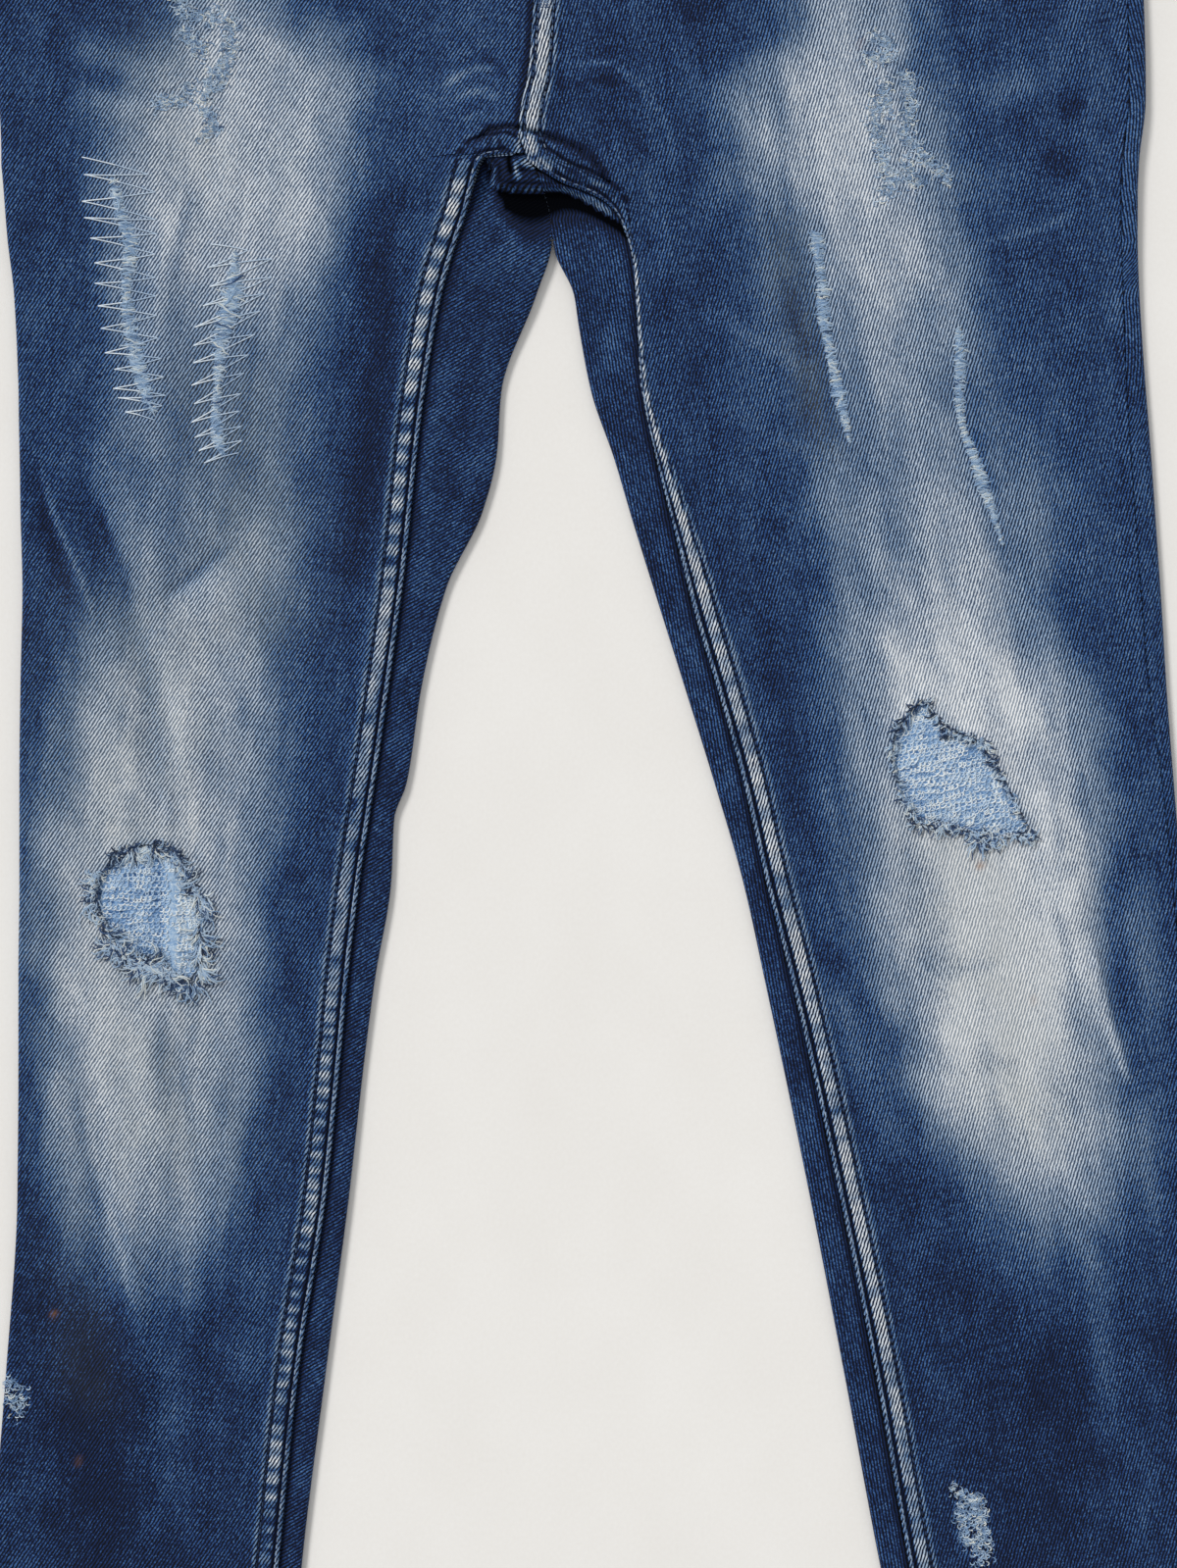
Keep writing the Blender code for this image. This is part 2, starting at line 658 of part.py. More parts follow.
def torn_knees(patch_cloth, garment):
    """A hole through each front and the patch behind it, made from the front's points."""
    for knee in KNEES:
        x, y = knee["middle"]
        count = len(knee["reach"])
        work = bmesh.new()
        ring = []
        for k, reach in enumerate(knee["reach"]):
            angle = 2 * math.pi * k / count
            edge = (x + reach * math.cos(angle), y + reach * math.sin(angle), CUTTER_FOOT)
            ring.append(work.verts.new(np.array(edge) * MM))
        base = work.faces.new(ring)
        lifted = bmesh.ops.extrude_face_region(work, geom=[base])["geom"]
        tops = [item for item in lifted if isinstance(item, bmesh.types.BMVert)]
        bmesh.ops.translate(work, verts=tops, vec=(0, 0, CUTTER_HEIGHT * MM))
        bmesh.ops.recalc_face_normals(work, faces=work.faces[:])
        cutter = new_object("knee_cutter_" + knee["side"], work, None, garment)
        cutter.hide_render = True
        cutter.display_type = "WIRE"
        front = bpy.data.objects["front_" + knee["side"]]
        cut = front.modifiers.new("torn knee", "BOOLEAN")
        cut.operation = "DIFFERENCE"
        cut.solver = "EXACT"
        cut.object = cutter
        width, height = knee["patch"]
        grid = []
        for level in np.linspace(y - height / 2, y + height / 2, 7):
            row = Row(x, level)
            grid.append(top_span(row, x + width / 2, x - width / 2, 6, BACKING_DROP))
        cloth("knee_patch_" + knee["side"], grid, patch_cloth, garment)


def fly_zip(finish, garment):
    """The closed zip behind the fly, following the fronts from below."""
    grid = []
    for level in np.linspace(ZIP_FROM, ZIP_TO, 8):
        row = Row(0, level)
        x = row.meet(CENTRE, "front")
        grid.append(top_span(row, x + ZIP_WIDTH / 2, x - ZIP_WIDTH / 2, 2, BACKING_DROP))
    cloth("zip", grid, finish, garment)


def waist_button(finish, garment):
    """A turned shank button standing on the lapped end of the band."""
    x = read(CENTRE, "front", WAIST) + 2
    y = band_level(x, False) + BAND_WIDTH / 2
    foot = BAND_HEIGHT + BAND_CLOTH + 2 * GAP
    rim = foot + BUTTON_LIFT
    top = rim + BUTTON_DEPTH
    profile = (
        (0.0, foot),
        (BUTTON_SHANK, foot),
        (BUTTON_SHANK, rim),
        (BUTTON_RADIUS - 0.7, rim),
        (BUTTON_RADIUS, rim + 0.7),
        (BUTTON_RADIUS, top - 1.0),
        (BUTTON_RADIUS - 0.8, top),
        (BUTTON_RADIUS - 2.0, top),
        (BUTTON_RADIUS - 2.6, top - 0.6),
        (0.0, top - 0.6),
    )
    work = bmesh.new()
    verts = [work.verts.new(((x + r) * MM, y * MM, z * MM)) for r, z in profile]
    edges = [work.edges.new(pair) for pair in zip(verts, verts[1:])]
    bmesh.ops.spin(
        work,
        geom=verts + edges,
        cent=(x * MM, y * MM, 0),
        axis=(0, 0, 1),
        angle=2 * math.pi,
        steps=24,
        use_merge=True,
    )
    bmesh.ops.remove_doubles(work, verts=work.verts[:], dist=0.00001)
    bmesh.ops.recalc_face_normals(work, faces=work.faces[:])
    made = new_object("button", work, finish, garment)
    made.data.set_sharp_from_angle(angle=math.radians(35))


def centre_over_origin(garment):
    """Moves the garment so that the middle of its outline is over the origin."""
    places = np.array([
        corner.co[:2]
        for made in bpy.data.objects
        if made.type == "MESH" and not made.hide_render
        for corner in made.data.vertices
    ])
    middle = (places.min(axis=0) + places.max(axis=0)) / 2
    garment.location = (-middle[0], -middle[1], 0)


def build():
    for old in list(bpy.data.objects):
        bpy.data.objects.remove(old, do_unlink=True)
    garment = bpy.data.objects.new("jeans", None)
    bpy.context.scene.collection.objects.link(garment)
    denim = material("indigo denim", INDIGO, 0.85)
    patch_cloth = material("light blue cotton", LIGHT_BLUE, 0.9)
    tape = material("zip tape", TAPE_BLUE, 0.8)
    metal = material("aged metal", AGED_METAL, 0.35, 1.0)
    fronts(denim, garment)
    backs(denim, garment)
    yokes(denim, garment)
    pocket_facings(denim, garment)
    waistband(denim, garment)
    belt_loops(denim, garment)
    back_pockets(denim, garment)
    torn_knees(patch_cloth, garment)
    fly_zip(tape, garment)
    waist_button(metal, garment)
    centre_over_origin(garment)


build()
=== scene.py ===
# Ripped slim jeans laid flat, front up: cloth, seams, stitching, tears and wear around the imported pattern.
# The garment is drafted in millimetres: x runs to the wearer's left, y up to the waist, z up from the floor,
# with the crotch point at x = y = 0. Meshes are moved to the frame's place and to metres when they are made.
import math

import bpy
import numpy as np
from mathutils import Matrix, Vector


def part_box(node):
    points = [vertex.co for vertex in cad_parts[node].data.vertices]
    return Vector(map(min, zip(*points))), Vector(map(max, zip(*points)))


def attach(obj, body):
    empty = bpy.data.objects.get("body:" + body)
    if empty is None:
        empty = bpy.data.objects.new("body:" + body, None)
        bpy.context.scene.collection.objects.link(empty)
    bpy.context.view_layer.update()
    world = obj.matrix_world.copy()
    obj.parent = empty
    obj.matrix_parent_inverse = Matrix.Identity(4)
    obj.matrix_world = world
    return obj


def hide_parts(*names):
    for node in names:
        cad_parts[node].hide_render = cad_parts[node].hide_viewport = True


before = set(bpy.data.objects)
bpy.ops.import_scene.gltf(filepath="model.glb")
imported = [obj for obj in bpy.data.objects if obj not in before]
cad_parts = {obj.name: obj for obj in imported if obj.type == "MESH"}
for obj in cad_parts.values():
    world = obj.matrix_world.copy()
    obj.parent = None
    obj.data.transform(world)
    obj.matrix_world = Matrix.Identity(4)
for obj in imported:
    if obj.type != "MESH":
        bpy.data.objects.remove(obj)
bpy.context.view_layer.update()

mm = 0.001  # one millimetre, in metres

# The right back pocket is a flat piece with a known place in the draft: it tells where the draft's zero is.
pocketLow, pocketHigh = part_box("back_pocket_right")
draftPocket = dict(middle=-130.0, top=157.0)
draftShift = np.array([(pocketLow.x + pocketHigh.x) / 2 - draftPocket["middle"] * mm,
                       pocketHigh.y - draftPocket["top"] * mm, 0.0])

cut = dict(
    wall=1.2, bandWall=2.4, gap=0.3, legHeight=5.0, seatHeight=6.5, seatLift=1.5, bandHeight=7.4, edge=2.5,
    flapDrop=0.8, hem=-776.0, tiltFrom=-150.0, waist=233.0, frontDip=14.0, backRise=5.0, bandWidth=40.0,
    yokeSide=193.0, yokeCentre=168.0, mouthWidth=110.0, mouthDepth=80.0, facingLap=12.0, underlap=4.0,
    lapOver=18.0, lapUnder=22.0, lapClear=4.0, lapRamp=16.0,
)


def table(names, *rows):
    # Named columns, each with one value for every row.
    return dict(zip(names.split(), np.array(rows, float).T))


# Right leg and hip: side edge, felled edge of the front, rolled inner edge of the back.
rightLeg = table(
    "level outer edge fold",
    (-776, -287, -146, -134),
    (-650, -276, -134, -123),
    (-554, -268, -124, -111),
    (-469, -262.5, -110.7, -99.8),
    (-400, -262, -103.5, -92),
    (-362, -262, -100, -87),
    (-314, -261.5, -94.2, -79),
    (-283, -261.5, -89.5, -77.5),
    (-266, -261.5, -86.8, -71.5),
    (-218, -261, -79.8, -64),
    (-170, -260, -73.2, -52),
    (-132, -261, -69, -34),
    (-103, -261.5, -66, -27),
    (-74, -262, -62.3, -25),
    (-26, -264, -54, -7.7),
    (0, -267, -46.5, -0.15),
    (12, -268, -42.4, -0.15),
    (26, -269, -38.6, -0.15),
    (33, -269.6, -36.6, -0.15),
    (37.6, -270, -35, -0.15),
    (39.6, -270, -32.4, -0.15),
    (40.4, -270, -25.4, -0.15),
    (41, -270, -14.2, -0.15),
    (118, -274, -14.2, -0.15),
    (160, -269, -14.2, -0.15),
    (200, -256, -14.2, -0.15),
    (233, -241, -14.2, -0.15),
    (280, -225, -14.2, -0.15),
)

# Left leg and hip: as the right, with the side seam lying on top.
leftLeg = table(
    "level fold edge outseam outer",
    (-776, 188.5, 201, 342, 347.5),
    (-650, 161, 175, 330.5, 336),
    (-554, 143, 158, 322.5, 328),
    (-458, 124.3, 138.5, 314, 319.7),
    (-362, 104.2, 117, 307.5, 313),
    (-314, 93.6, 104.6, 303.5, 309),
    (-266, 79.7, 93.7, 298.6, 305),
    (-218, 64.8, 80.3, 292, 301.4),
    (-186, 54.7, 70.6, 289.3, 299.5),
    (-138, 39.7, 58.6, 285.6, 296.2),
    (-106, 30.2, 50.6, 283.4, 294),
    (-74, 19.2, 44.2, 281.3, 291.4),
    (-41, 12.9, 41.8, 280, 289),
    (-26, 10.6, 41, 279.4, 288),
    (-4, 1, 38.5, 278.5, 287.1),
    (4, 0.15, 36.1, 278.3, 287),
    (12, 0.15, 32.2, 278.2, 287),
    (18.4, 0.15, 25.8, 278.1, 287),
    (23.2, 0.15, 16.2, 278, 287),
    (26.4, 0.15, 6.6, 278, 287),
    (29.9, 0.15, -0.2, 278.2, 287.2),
    (34.4, 0.15, -7.8, 278.4, 287.4),
    (38.5, 0.15, -12.2, 278.6, 287.6),
    (70, 0.15, -12.2, 282, 291),
    (118, 0.15, -12.2, 281.5, 290),
    (160, 0.15, -12.2, 277, 285),
    (200, 0.15, -12.2, 264, 272),
    (233, 0.15, -12.2, 249, 257),
    (280, 0.15, -12.2, 233, 241),
)

centreLine = table(
    "level front back",
    (0, -12.4, 0),
    (38.5, -12.6, -3),
    (51.4, -16.4, -4),
    (60, -15.8, -4),
    (84, -11.4, -3),
    (113, -9.4, -2),
    (160, -5, 2),
    (219, 3, 5),
    (280, 6, 6),
)

# The seat seam where it comes round the crotch and lies on top.
seatSeam = table("level x", (0, 0), (14, -1.4), (26, -5), (34, -8.5), (42, -13))

# How wide the left inseam's felled band lies: it is turned almost under beside the crotch.
leftBandScale = table(
    "level scale",
    (-776, 1), (-186, 1), (-138, 0.75), (-106, 0.5), (-74, 0.26), (-40, 0.13), (0, 0.16), (12, 0.4),
    (23, 0.8), (42, 1),
)

halves = dict(  # what differs between the wearer's sides
    right=dict(data=rightLeg, seam="outer", tilt=-0.08, hemMiddle=-216.5, archTop=41.0, lean=-0.104,
               ridge=2.5, puckers=11),
    left=dict(data=leftLeg, seam="outseam", tilt=0.14, hemMiddle=268.0, archTop=38.5, lean=0.152,
              ridge=2.7, puckers=12),
)


def column(data, name, level):
    # A column's value at any levels: a monotone cubic, whose slope at a row is the harmonic mean of the
    # slopes on its two sides.
    levels, values = data["level"], data[name]
    steps = np.diff(values) / np.diff(levels)
    before, after = steps[:-1], steps[1:]
    sameWay = before * after > 0
    means = np.where(sameWay, 2 * before * after / np.where(sameWay, before + after, 1), 0)
    slopes = np.concatenate([steps[:1], means, steps[-1:]])
    level = np.clip(level, levels[0], levels[-1])
    i = np.clip(np.searchsorted(levels, level) - 1, 0, len(levels) - 2)
    span = levels[i + 1] - levels[i]
    t = (level - levels[i]) / span
    start = (1 + 2 * t) * (1 - t) ** 2 * values[i] + t * (1 - t) ** 2 * span * slopes[i]
    end = t * t * (3 - 2 * t) * values[i + 1] + t * t * (t - 1) * span * slopes[i + 1]
    return start + end


def smooth(t):
    # 0 below 0, 1 above 1, and 3t^2 - 2t^3 between.
    t = np.clip(t, 0, 1)
    return t * t * (3 - 2 * t)


def bell(distance, width):
    # A hill of height 1: e to the minus (distance / width) squared.
    return np.exp(-((distance / width) ** 2))


def between(value, low, high, soft):
    # 1 from low to high, with soft edges that reach as far out as soft.
    return smooth((value - low) / soft + 1) * smooth((high - value) / soft + 1)


def softNoise(x, y, size, seed):
    # Random heights from -1 to 1 on a square grid of that size, joined by smooth steps.
    heights = np.random.default_rng(seed).uniform(-1, 1, (256, 256))
    u, v = x / size + 40.3, y / size + 71.7
    i, j = np.floor(u).astype(int), np.floor(v).astype(int)
    s, t = smooth(u - i), smooth(v - j)
    low = heights[i % 256, j % 256] * (1 - s) + heights[(i + 1) % 256, j % 256] * s
    high = heights[i % 256, (j + 1) % 256] * (1 - s) + heights[(i + 1) % 256, (j + 1) % 256] * s
    return low * (1 - t) + high * t


def nearLine(x, y, line):
    # For each point: distance to the nearest place on a polyline, how far along it that is, which side, and
    # the whole length.
    best, along, side, run = np.full(np.shape(x), 1e9), np.zeros(np.shape(x)), np.ones(np.shape(x)), 0.0
    for (x0, y0), (x1, y1) in zip(line[:-1], line[1:]):
        dx, dy = x1 - x0, y1 - y0
        length = math.hypot(dx, dy)
        t = np.clip(((x - x0) * dx + (y - y0) * dy) / length**2, 0, 1)
        gap = np.hypot(x - x0 - t * dx, y - y0 - t * dy)
        closer = gap < best
        best = np.where(closer, gap, best)
        along = np.where(closer, run + t * length, along)
        side = np.where(closer, np.sign((x - x0) * dy - (y - y0) * dx), side)
        run += length
    return best, along, side, run


def mark(width, strength, *line, **shape):
    # A soft line in the cloth or its colour: half width, strength, and points from end to end. In shape,
    # right scales the width to its right, taper is the share that dies out at each end, and blunt shortens
    # that.
    return dict(shape, line=line, width=width, strength=strength)


def stroke(x, y, laid):
    # A bell across a mark's line, times a smooth rise at each end.
    gap, along, side, length = nearLine(x, y, laid["line"])
    width = np.where(side > 0, laid["width"] * laid.get("right", 1), laid["width"])
    taper = laid.get("taper", 0.3) * length + 0.001
    blunt = laid.get("blunt", 0)
    return bell(gap, width) * (smooth(along / taper + blunt) * smooth((length - along) / taper + blunt))


def strongest(x, y, marks):
    # The strongest of some marks at each place.
    best = np.zeros(np.shape(x))
    for laid in marks:
        best = np.maximum(best, laid["strength"] * stroke(x, y, laid))
    return best


def resample(line, step):
    # Points evenly spaced along a polyline, and the distance of each along it.
    line = np.asarray(line, float)
    run = np.concatenate([[0], np.cumsum(np.hypot(*np.diff(line[:, :2], axis=0).T))])
    places = np.arange(0, run[-1] + 1e-6, step)
    return np.stack([np.interp(places, run, line[:, k]) for k in range(line.shape[1])], axis=1), places


# Heights of the cloth: ridges are above 0, troughs below.
bigFolds = (
    mark(9, 1.2, (-182, 26), (-193, -26), (-191, -94), right=0.7),
    mark(9, -1.0, (-257, -85), (-249, -118), (-239, -151), (-229, -170)),
    mark(6, -2.0, (-232, -105), (-222, -146), (-211, -170), (-201, -190), (-195, -214), (-191, -240),
         (-188, -280), right=1.5, taper=0.22),
    mark(10, 1.5, (-217, -110), (-207, -150), (-190, -190), (-181, -230), (-176, -285)),
    mark(9, 1.0, (-244, -130), (-226, -172), (-212, -215), (-206, -280)),
    mark(8, -1.4, (-156, -150), (-174, -160), (-192, -176), right=1.6),
    mark(10, 1.0, (-140, -172), (-165, -180), (-184, -196)),
    mark(6, -1.3, (-187, -368), (-184, -391), (-179, -420), (-175, -458), (-170, -500), right=2),
    mark(9, 0.9, (-199, -372), (-196, -420), (-190, -470)),
    mark(8, -1.1, (-240, -395), (-227, -450), (-222, -500), (-220, -560)),
    mark(9, 1.0, (-210, -480), (-203, -545), (-198, -620)),
    mark(8, -0.8, (-188, -540), (-186, -640)),
    mark(9, 0.9, (-149, -470), (-151, -540), (-158, -640)),
    mark(8, -1.3, (214, -130), (224, -165), (232, -196), (238, -240), right=1.5),
    mark(10, 1.3, (238, -262), (248, -310), (258, -350)),
    mark(5, 1.3, (255, -345), (266, -370), (274, -393), (285, -414), right=0.6),
    mark(8, -1.2, (266, -281), (272, -340), (278, -400), (284, -440)),
    mark(14, 1.0, (226, -470), (244, -560), (262, -650)),
    mark(10, -0.9, (272, -500), (286, -570), (296, -640)),
    mark(9, -1.2, (112, 14), (124, -14), (131, -40), (137, -76), (148, -104), right=0.7),
    mark(8, -0.9, (196, -60), (203, -104), (214, -134), (222, -160)),
)
fineFolds = (
    mark(2.2, 1.0, (-253, -102), (-245, -132), (-236.5, -152), (-229, -169), (-225, -182), (-222, -197),
         right=0.7, taper=0.2),
    mark(4, -0.7, (-257, -110), (-249, -136), (-241, -157), (-233, -174), taper=0.2),
    mark(2.6, -1.4, (-229, -119), (-221.5, -134), (-216, -151), (-210, -166), (-205, -181), taper=0.2,
         right=0.6),
    mark(2.4, 1.1, (-226, -118), (-217, -138), (-211, -155), (-203, -176), (-198, -190), taper=0.25),
    mark(2.0, 1.1, (-200, -186), (-195, -214), (-191, -242), (-187, -282), (-189, -297), right=1.6,
         taper=0.15),
    mark(2.8, -1.3, (-162, -152), (-172, -160), (-181, -167), (-191, -175), taper=0.2, right=0.7),
    mark(1.8, 0.9, (-187, -366), (-184, -380), (-179, -401), (-177, -420), taper=0.2),
    mark(2.2, 1.2, (262, -334), (267, -356), (273, -381), (280, -404), (285, -418), right=0.6, taper=0.2),
    mark(3.4, -1.0, (109, -2), (116, -24), (123, -56), (128, -108), right=0.7, taper=0.3),
    mark(2.6, -0.7, (200, 31), (205, 22), (210, 10)),
    mark(4, -0.6, (-148, 96), (-162, 70), (-166, 40), (-170, 16)),
    mark(3, 0.7, (228, -120), (240, -166), (250, -214), right=0.7),
    mark(3.4, -0.6, (190, -150), (203, -190), (210, -222)),
    mark(3, 0.7, (-226, -424), (-216, -456), (-207, -484), (-199, -552), right=0.7),
    mark(4, -0.6, (-168, -490), (-166, -540), (-172, -600)),
    mark(4, 0.6, (300, -440), (306, -500), (312, -560)),
    mark(3.4, -0.7, (232, -500), (240, -560), (248, -610), right=0.6),
    mark(4, -0.6, (-266, -60), (-256, -78), (-240, -96)),
    mark(4, 0.5, (-250, -150), (-236, -166), (-222, -176)),
    mark(3, -0.5, (-226, -400), (-221, -440), (-219, -476)),
    mark(4, 0.5, (-166, -380), (-160, -420), (-157, -470)),
    mark(4, -0.5, (-242, -330), (-238, -360), (-232, -392)),
    mark(4, -0.5, (-228, 92), (-205, 86), (-178, 88)),
    mark(4, 0.5, (-235, 70), (-212, 62), (-190, 64)),
    mark(5, -0.6, (-110, 88), (-88, 70), (-66, 60)),
    mark(5, 0.5, (-104, 62), (-84, 40), (-70, 16)),
    mark(4, 0.8, (27, 50), (42, 31), (55, 12), (58, -14), (61, -28)),
    mark(4, 0.7, (12, 88), (30, 78), (46, 62), (58, 40)),
    mark(4, -0.8, (8, 70), (22, 66), (34, 58), (44, 44)),
    mark(5, 0.5, (61, 89), (78, 72), (90, 48), (95, 22)),
    mark(4, 0.6, (66, -32), (88, -44), (116, -58), (146, -84)),
    mark(5, -0.6, (62, -50), (84, -64), (112, -82), (144, -108)),
    mark(5, 0.5, (64, -78), (92, -96), (122, -116), (150, -146)),
    mark(5, -0.7, (100, -128), (112, -148), (120, -172)),
    mark(5, 0.4, (68, -118), (84, -150), (96, -190)),
    mark(3, -0.6, (287, -282), (292, -290), (299, -295)),
    mark(5, -0.5, (170, -350), (200, -356), (236, -352)),
    mark(6, 0.4, (180, -318), (214, -326), (246, -322)),
    mark(5, -0.4, (214, -360), (220, -384), (236, -396)),
    mark(4, 0.6, (-60, 84), (-48, 70), (-30, 62)),
    mark(4, -0.6, (-46, 96), (-34, 84), (-22, 78)),
    mark(3, 0.7, (-52, 66), (-40, 58), (-26, 58)),
)
foldGain = 1.35
crotchGroove = ((-38, 42), (-35.4, 48.6), (-30, 53), (-22, 54.4), (-15, 53.6), (-8, 51), (0, 49), (7.5, 46.6),
                (14, 43.4), (20, 38.6), (24.4, 33), (28, 26), (32, 16))

creamBlots = (  # rubbed crests where the centre seam crosses the arch, on the fronts and on the tab below
    mark(3.0, 0.95, (-11, 47.5), (-9.6, 42.4), blunt=1),
    mark(2.4, 0.75, (-14, 36.8), (-8, 35.4), blunt=1),
    mark(1.8, 0.6, (-6, 37.6), (-1, 33.8), blunt=1),
    mark(1.1, 0.75, (-17.4, 38), (-17.8, 25.5), blunt=1),
    mark(0.9, 0.7, (-15.8, 50), (-16.4, 41), blunt=1),
    mark(1.1, 0.3, (-8, 29.4), (2, 26.6), blunt=1),
    mark(1.6, 0.25, (9, 30), (18, 25), blunt=1),
    mark(1.2, 0.25, (20, 21), (28, 15), blunt=1),
)


def underside(y):
    # The legs lie on the floor, and a smooth step lifts the seat.
    return cut["seatLift"] * smooth((y + 60) / 48)


def crotchHump(x, y):
    # The thick crossing of the seams: a bell across, a smooth rise from below and a slow bell above.
    along = np.where(y < 44, smooth((y - 8) / 32), bell(y - 44, 60))
    return 6.0 * bell(x + 12, 55) * along


def foldSum(x, y, folds):
    # All folds added up.
    total = np.zeros(np.shape(x))
    for fold in folds:
        total += foldGain * fold["strength"] * stroke(x, y, fold)
    return total


def topside(x, y):
    # Height of the cloth that faces up: the plain height, the folds, the crossing and a faint unevenness.
    base = cut["legHeight"] + (cut["seatHeight"] - cut["legHeight"]) * smooth((y + 50) / 90)
    uneven = 0.22 * softNoise(x, y * 0.4, 22, 3) + 0.12 * softNoise(x, y * 0.6, 9, 4)
    deep = np.maximum(foldSum(x, y, bigFolds), -2.6)
    return base + deep + foldSum(x, y, fineFolds) + uneven + crotchHump(x, y)


seam = dict(groove=1.1, core=6.4, outerRidge=2.4, rise=1.0, pucker=0.34, pitch=11.0, quickens=424, more=0.04)


def pucker(along, seed):
    # Puckers along a felled band: a sine of uneven phase, closer together near the hem.
    turns = along / seam["pitch"] - seam["more"] * np.maximum(seam["quickens"] - along, 0)
    return np.sin(2 * math.pi * turns + 1.9 * softNoise(along, 0 * along, 24, seed))


def bandStops(ridge):
    # How far from a felled edge its ridge, groove, core, second groove and outer ridge end.
    return np.cumsum([ridge, seam["groove"], seam["core"], seam["groove"], seam["outerRidge"]])


def bandRelief(e, along, scale, ridge, seed):
    # Height of a felled band at e from its edge: a raised strip with two grooves and a puckered core.
    e = e / scale
    g1, g2, g3, g4, g5 = bandStops(ridge)
    whole = smooth(e / 0.9 + 0.25) * smooth((g5 + 3 - e) / 4)
    grooves = between(e, g1, g2, 0.5) + between(e, g3, g4, 0.5)
    core = between(e, g2, g3, 1.2)
    swell = core * (0.35 + seam["pucker"] * pucker(along, seed))
    return scale**0.5 * (seam["rise"] * whole + swell - 0.75 * grooves)


def bandTone(e, along, scale, ridge, seed, cream, contrast):
    # Where a felled band is rubbed pale, the crests of its core, and where it is darker: its grooves, as
    # painted shade and as blue that wear left.
    e = e / scale
    g1, g2, g3, g4, g5 = bandStops(ridge)
    patchy = softNoise(along, e * 2, 7, seed + 1)
    uneven = softNoise(along, 0 * along, 19, seed + 2)
    rope = pucker(along, seed) + 0.3 * uneven
    crest = np.clip(cream + contrast * rope + 0.3 * patchy + 0.26 * uneven, 0, 1)
    pale = between(e, g2 + 0.6, g3 - 0.5, 0.9) * crest
    edges = 0.42 * between(e, 0.5, g1 - 0.5, 0.5) + 0.4 * between(e, g4 + 0.4, g5 - 0.4, 0.7)
    dark = 1.25 * (between(e, g1, g2, 0.6) + between(e, g3, g4, 0.6))
    return pale + edges * (0.7 + 0.3 * patchy), dark


def edgeLine(data, name, levels):
    # A column as a line of points.
    return np.stack([column(data, name, levels), levels], axis=1)


edgeLevels = np.concatenate([np.arange(cut["hem"], -12, 6.0), np.arange(-12, 44, 1.5)])
legEdges = {side: edgeLine(half["data"], "edge", edgeLevels[edgeLevels < half["archTop"]])
            for side, half in halves.items()}
centreEdge = edgeLine(centreLine, "front", np.arange(36.0, 236, 4))


def frontTone(x, y, side):
    # What the bands along a front's sewn edges do to its height, paleness and darkness, by distance. The
    # darkness is mostly painted shade in grooves and between ribs.
    half = halves[side]
    e, along, _, _ = nearLine(x, y, legEdges[side])
    if side == "right":  # calm through the thigh, with a rubbed gap above the knee
        calm = between(y, -350, -190, 40)
        scale, cream, contrast = np.ones(np.shape(x)), 0.44 + 0.12 * calm, 0.44 - 0.34 * calm
        cream = cream - 0.3 * bell(y + 276, 11) - 0.12 * (1 - smooth((y + 330) / 160))
        arch = smooth((y - 22) / 14)
    else:
        scale, contrast = column(leftBandScale, "scale", y), 0.18
        cream = 0.66 - 0.3 * (bell(y + 330, 5) + bell(y + 222, 4))
        arch = smooth((y + 16) / 14)
    near = (np.abs(x + 12) < 60) | (y < 60)
    height = np.where(near, bandRelief(e, along, scale, half["ridge"], half["puckers"]), 0)
    pale, dark = bandTone(e, along, scale, half["ridge"], half["puckers"], cream, contrast)
    pale = pale * (1 - 0.8 * arch)

    c, up, _, _ = nearLine(x, y, centreEdge)
    if side == "left":  # the centre seam's band, plain again above the fly's foot
        fly = smooth((150 - y) / 30)
        height = np.maximum(height, bandRelief(c, up, 1.0, 2.2, 13) * (0.35 + 0.65 * fly))
        centrePale, centreDark = bandTone(c, up, 1.0, 2.2, 13, 0.95, 0.1)
        pale = np.maximum(pale, centrePale * smooth((y - 50) / 3) * (0.2 + 0.8 * fly))
        pale = np.maximum(pale, (0.25 + 0.5 * smooth((98 - y) / 8)) * bell(c - 0.9, 0.8) * fly)
        dark = np.maximum(dark, centreDark)
    else:
        # a groove beside the centre seam, darker with painted shade
        height = height - 0.7 * bell(c, 2.6) * smooth((y - 40) / 4)
        dark = np.maximum(dark, 0.9 * bell(c, 2.4) * smooth((y - 40) / 4))

    groove = stroke(x, y, mark(1.5, 1, *crotchGroove, taper=0.12))
    height = height - 2.0 * groove
    ribs = np.sin(2 * math.pi * along / 3.1 + softNoise(along, 0 * along, 9, 14))
    reach = between(x, -31, 32, 4) * smooth((y + 2) / 10)
    onArch = between(e, 1.8, 9, 1.5) * reach
    height = height + 0.22 * ribs * onArch
    pale = np.maximum(pale, (0.14 + 0.14 * ribs + 0.1 * softNoise(along, e * 2, 5, 15)) * onArch)
    # darker, as painted shade: the arch's groove, the dips between the ribs on the arch, the groove by the
    # felled edge
    dark = np.maximum(dark, 1.45 * groove)
    dark = np.maximum(dark, onArch * (0.42 - 0.25 * ribs))
    dark = np.maximum(dark, 0.9 * bell(e - 1.7, 0.8) * reach)
    for blot in creamBlots:
        laid = blot["strength"] * stroke(x, y, blot)
        pale = np.maximum(pale, laid)
        dark = dark * (1 - smooth(1.6 * laid))
    return height, pale, dark


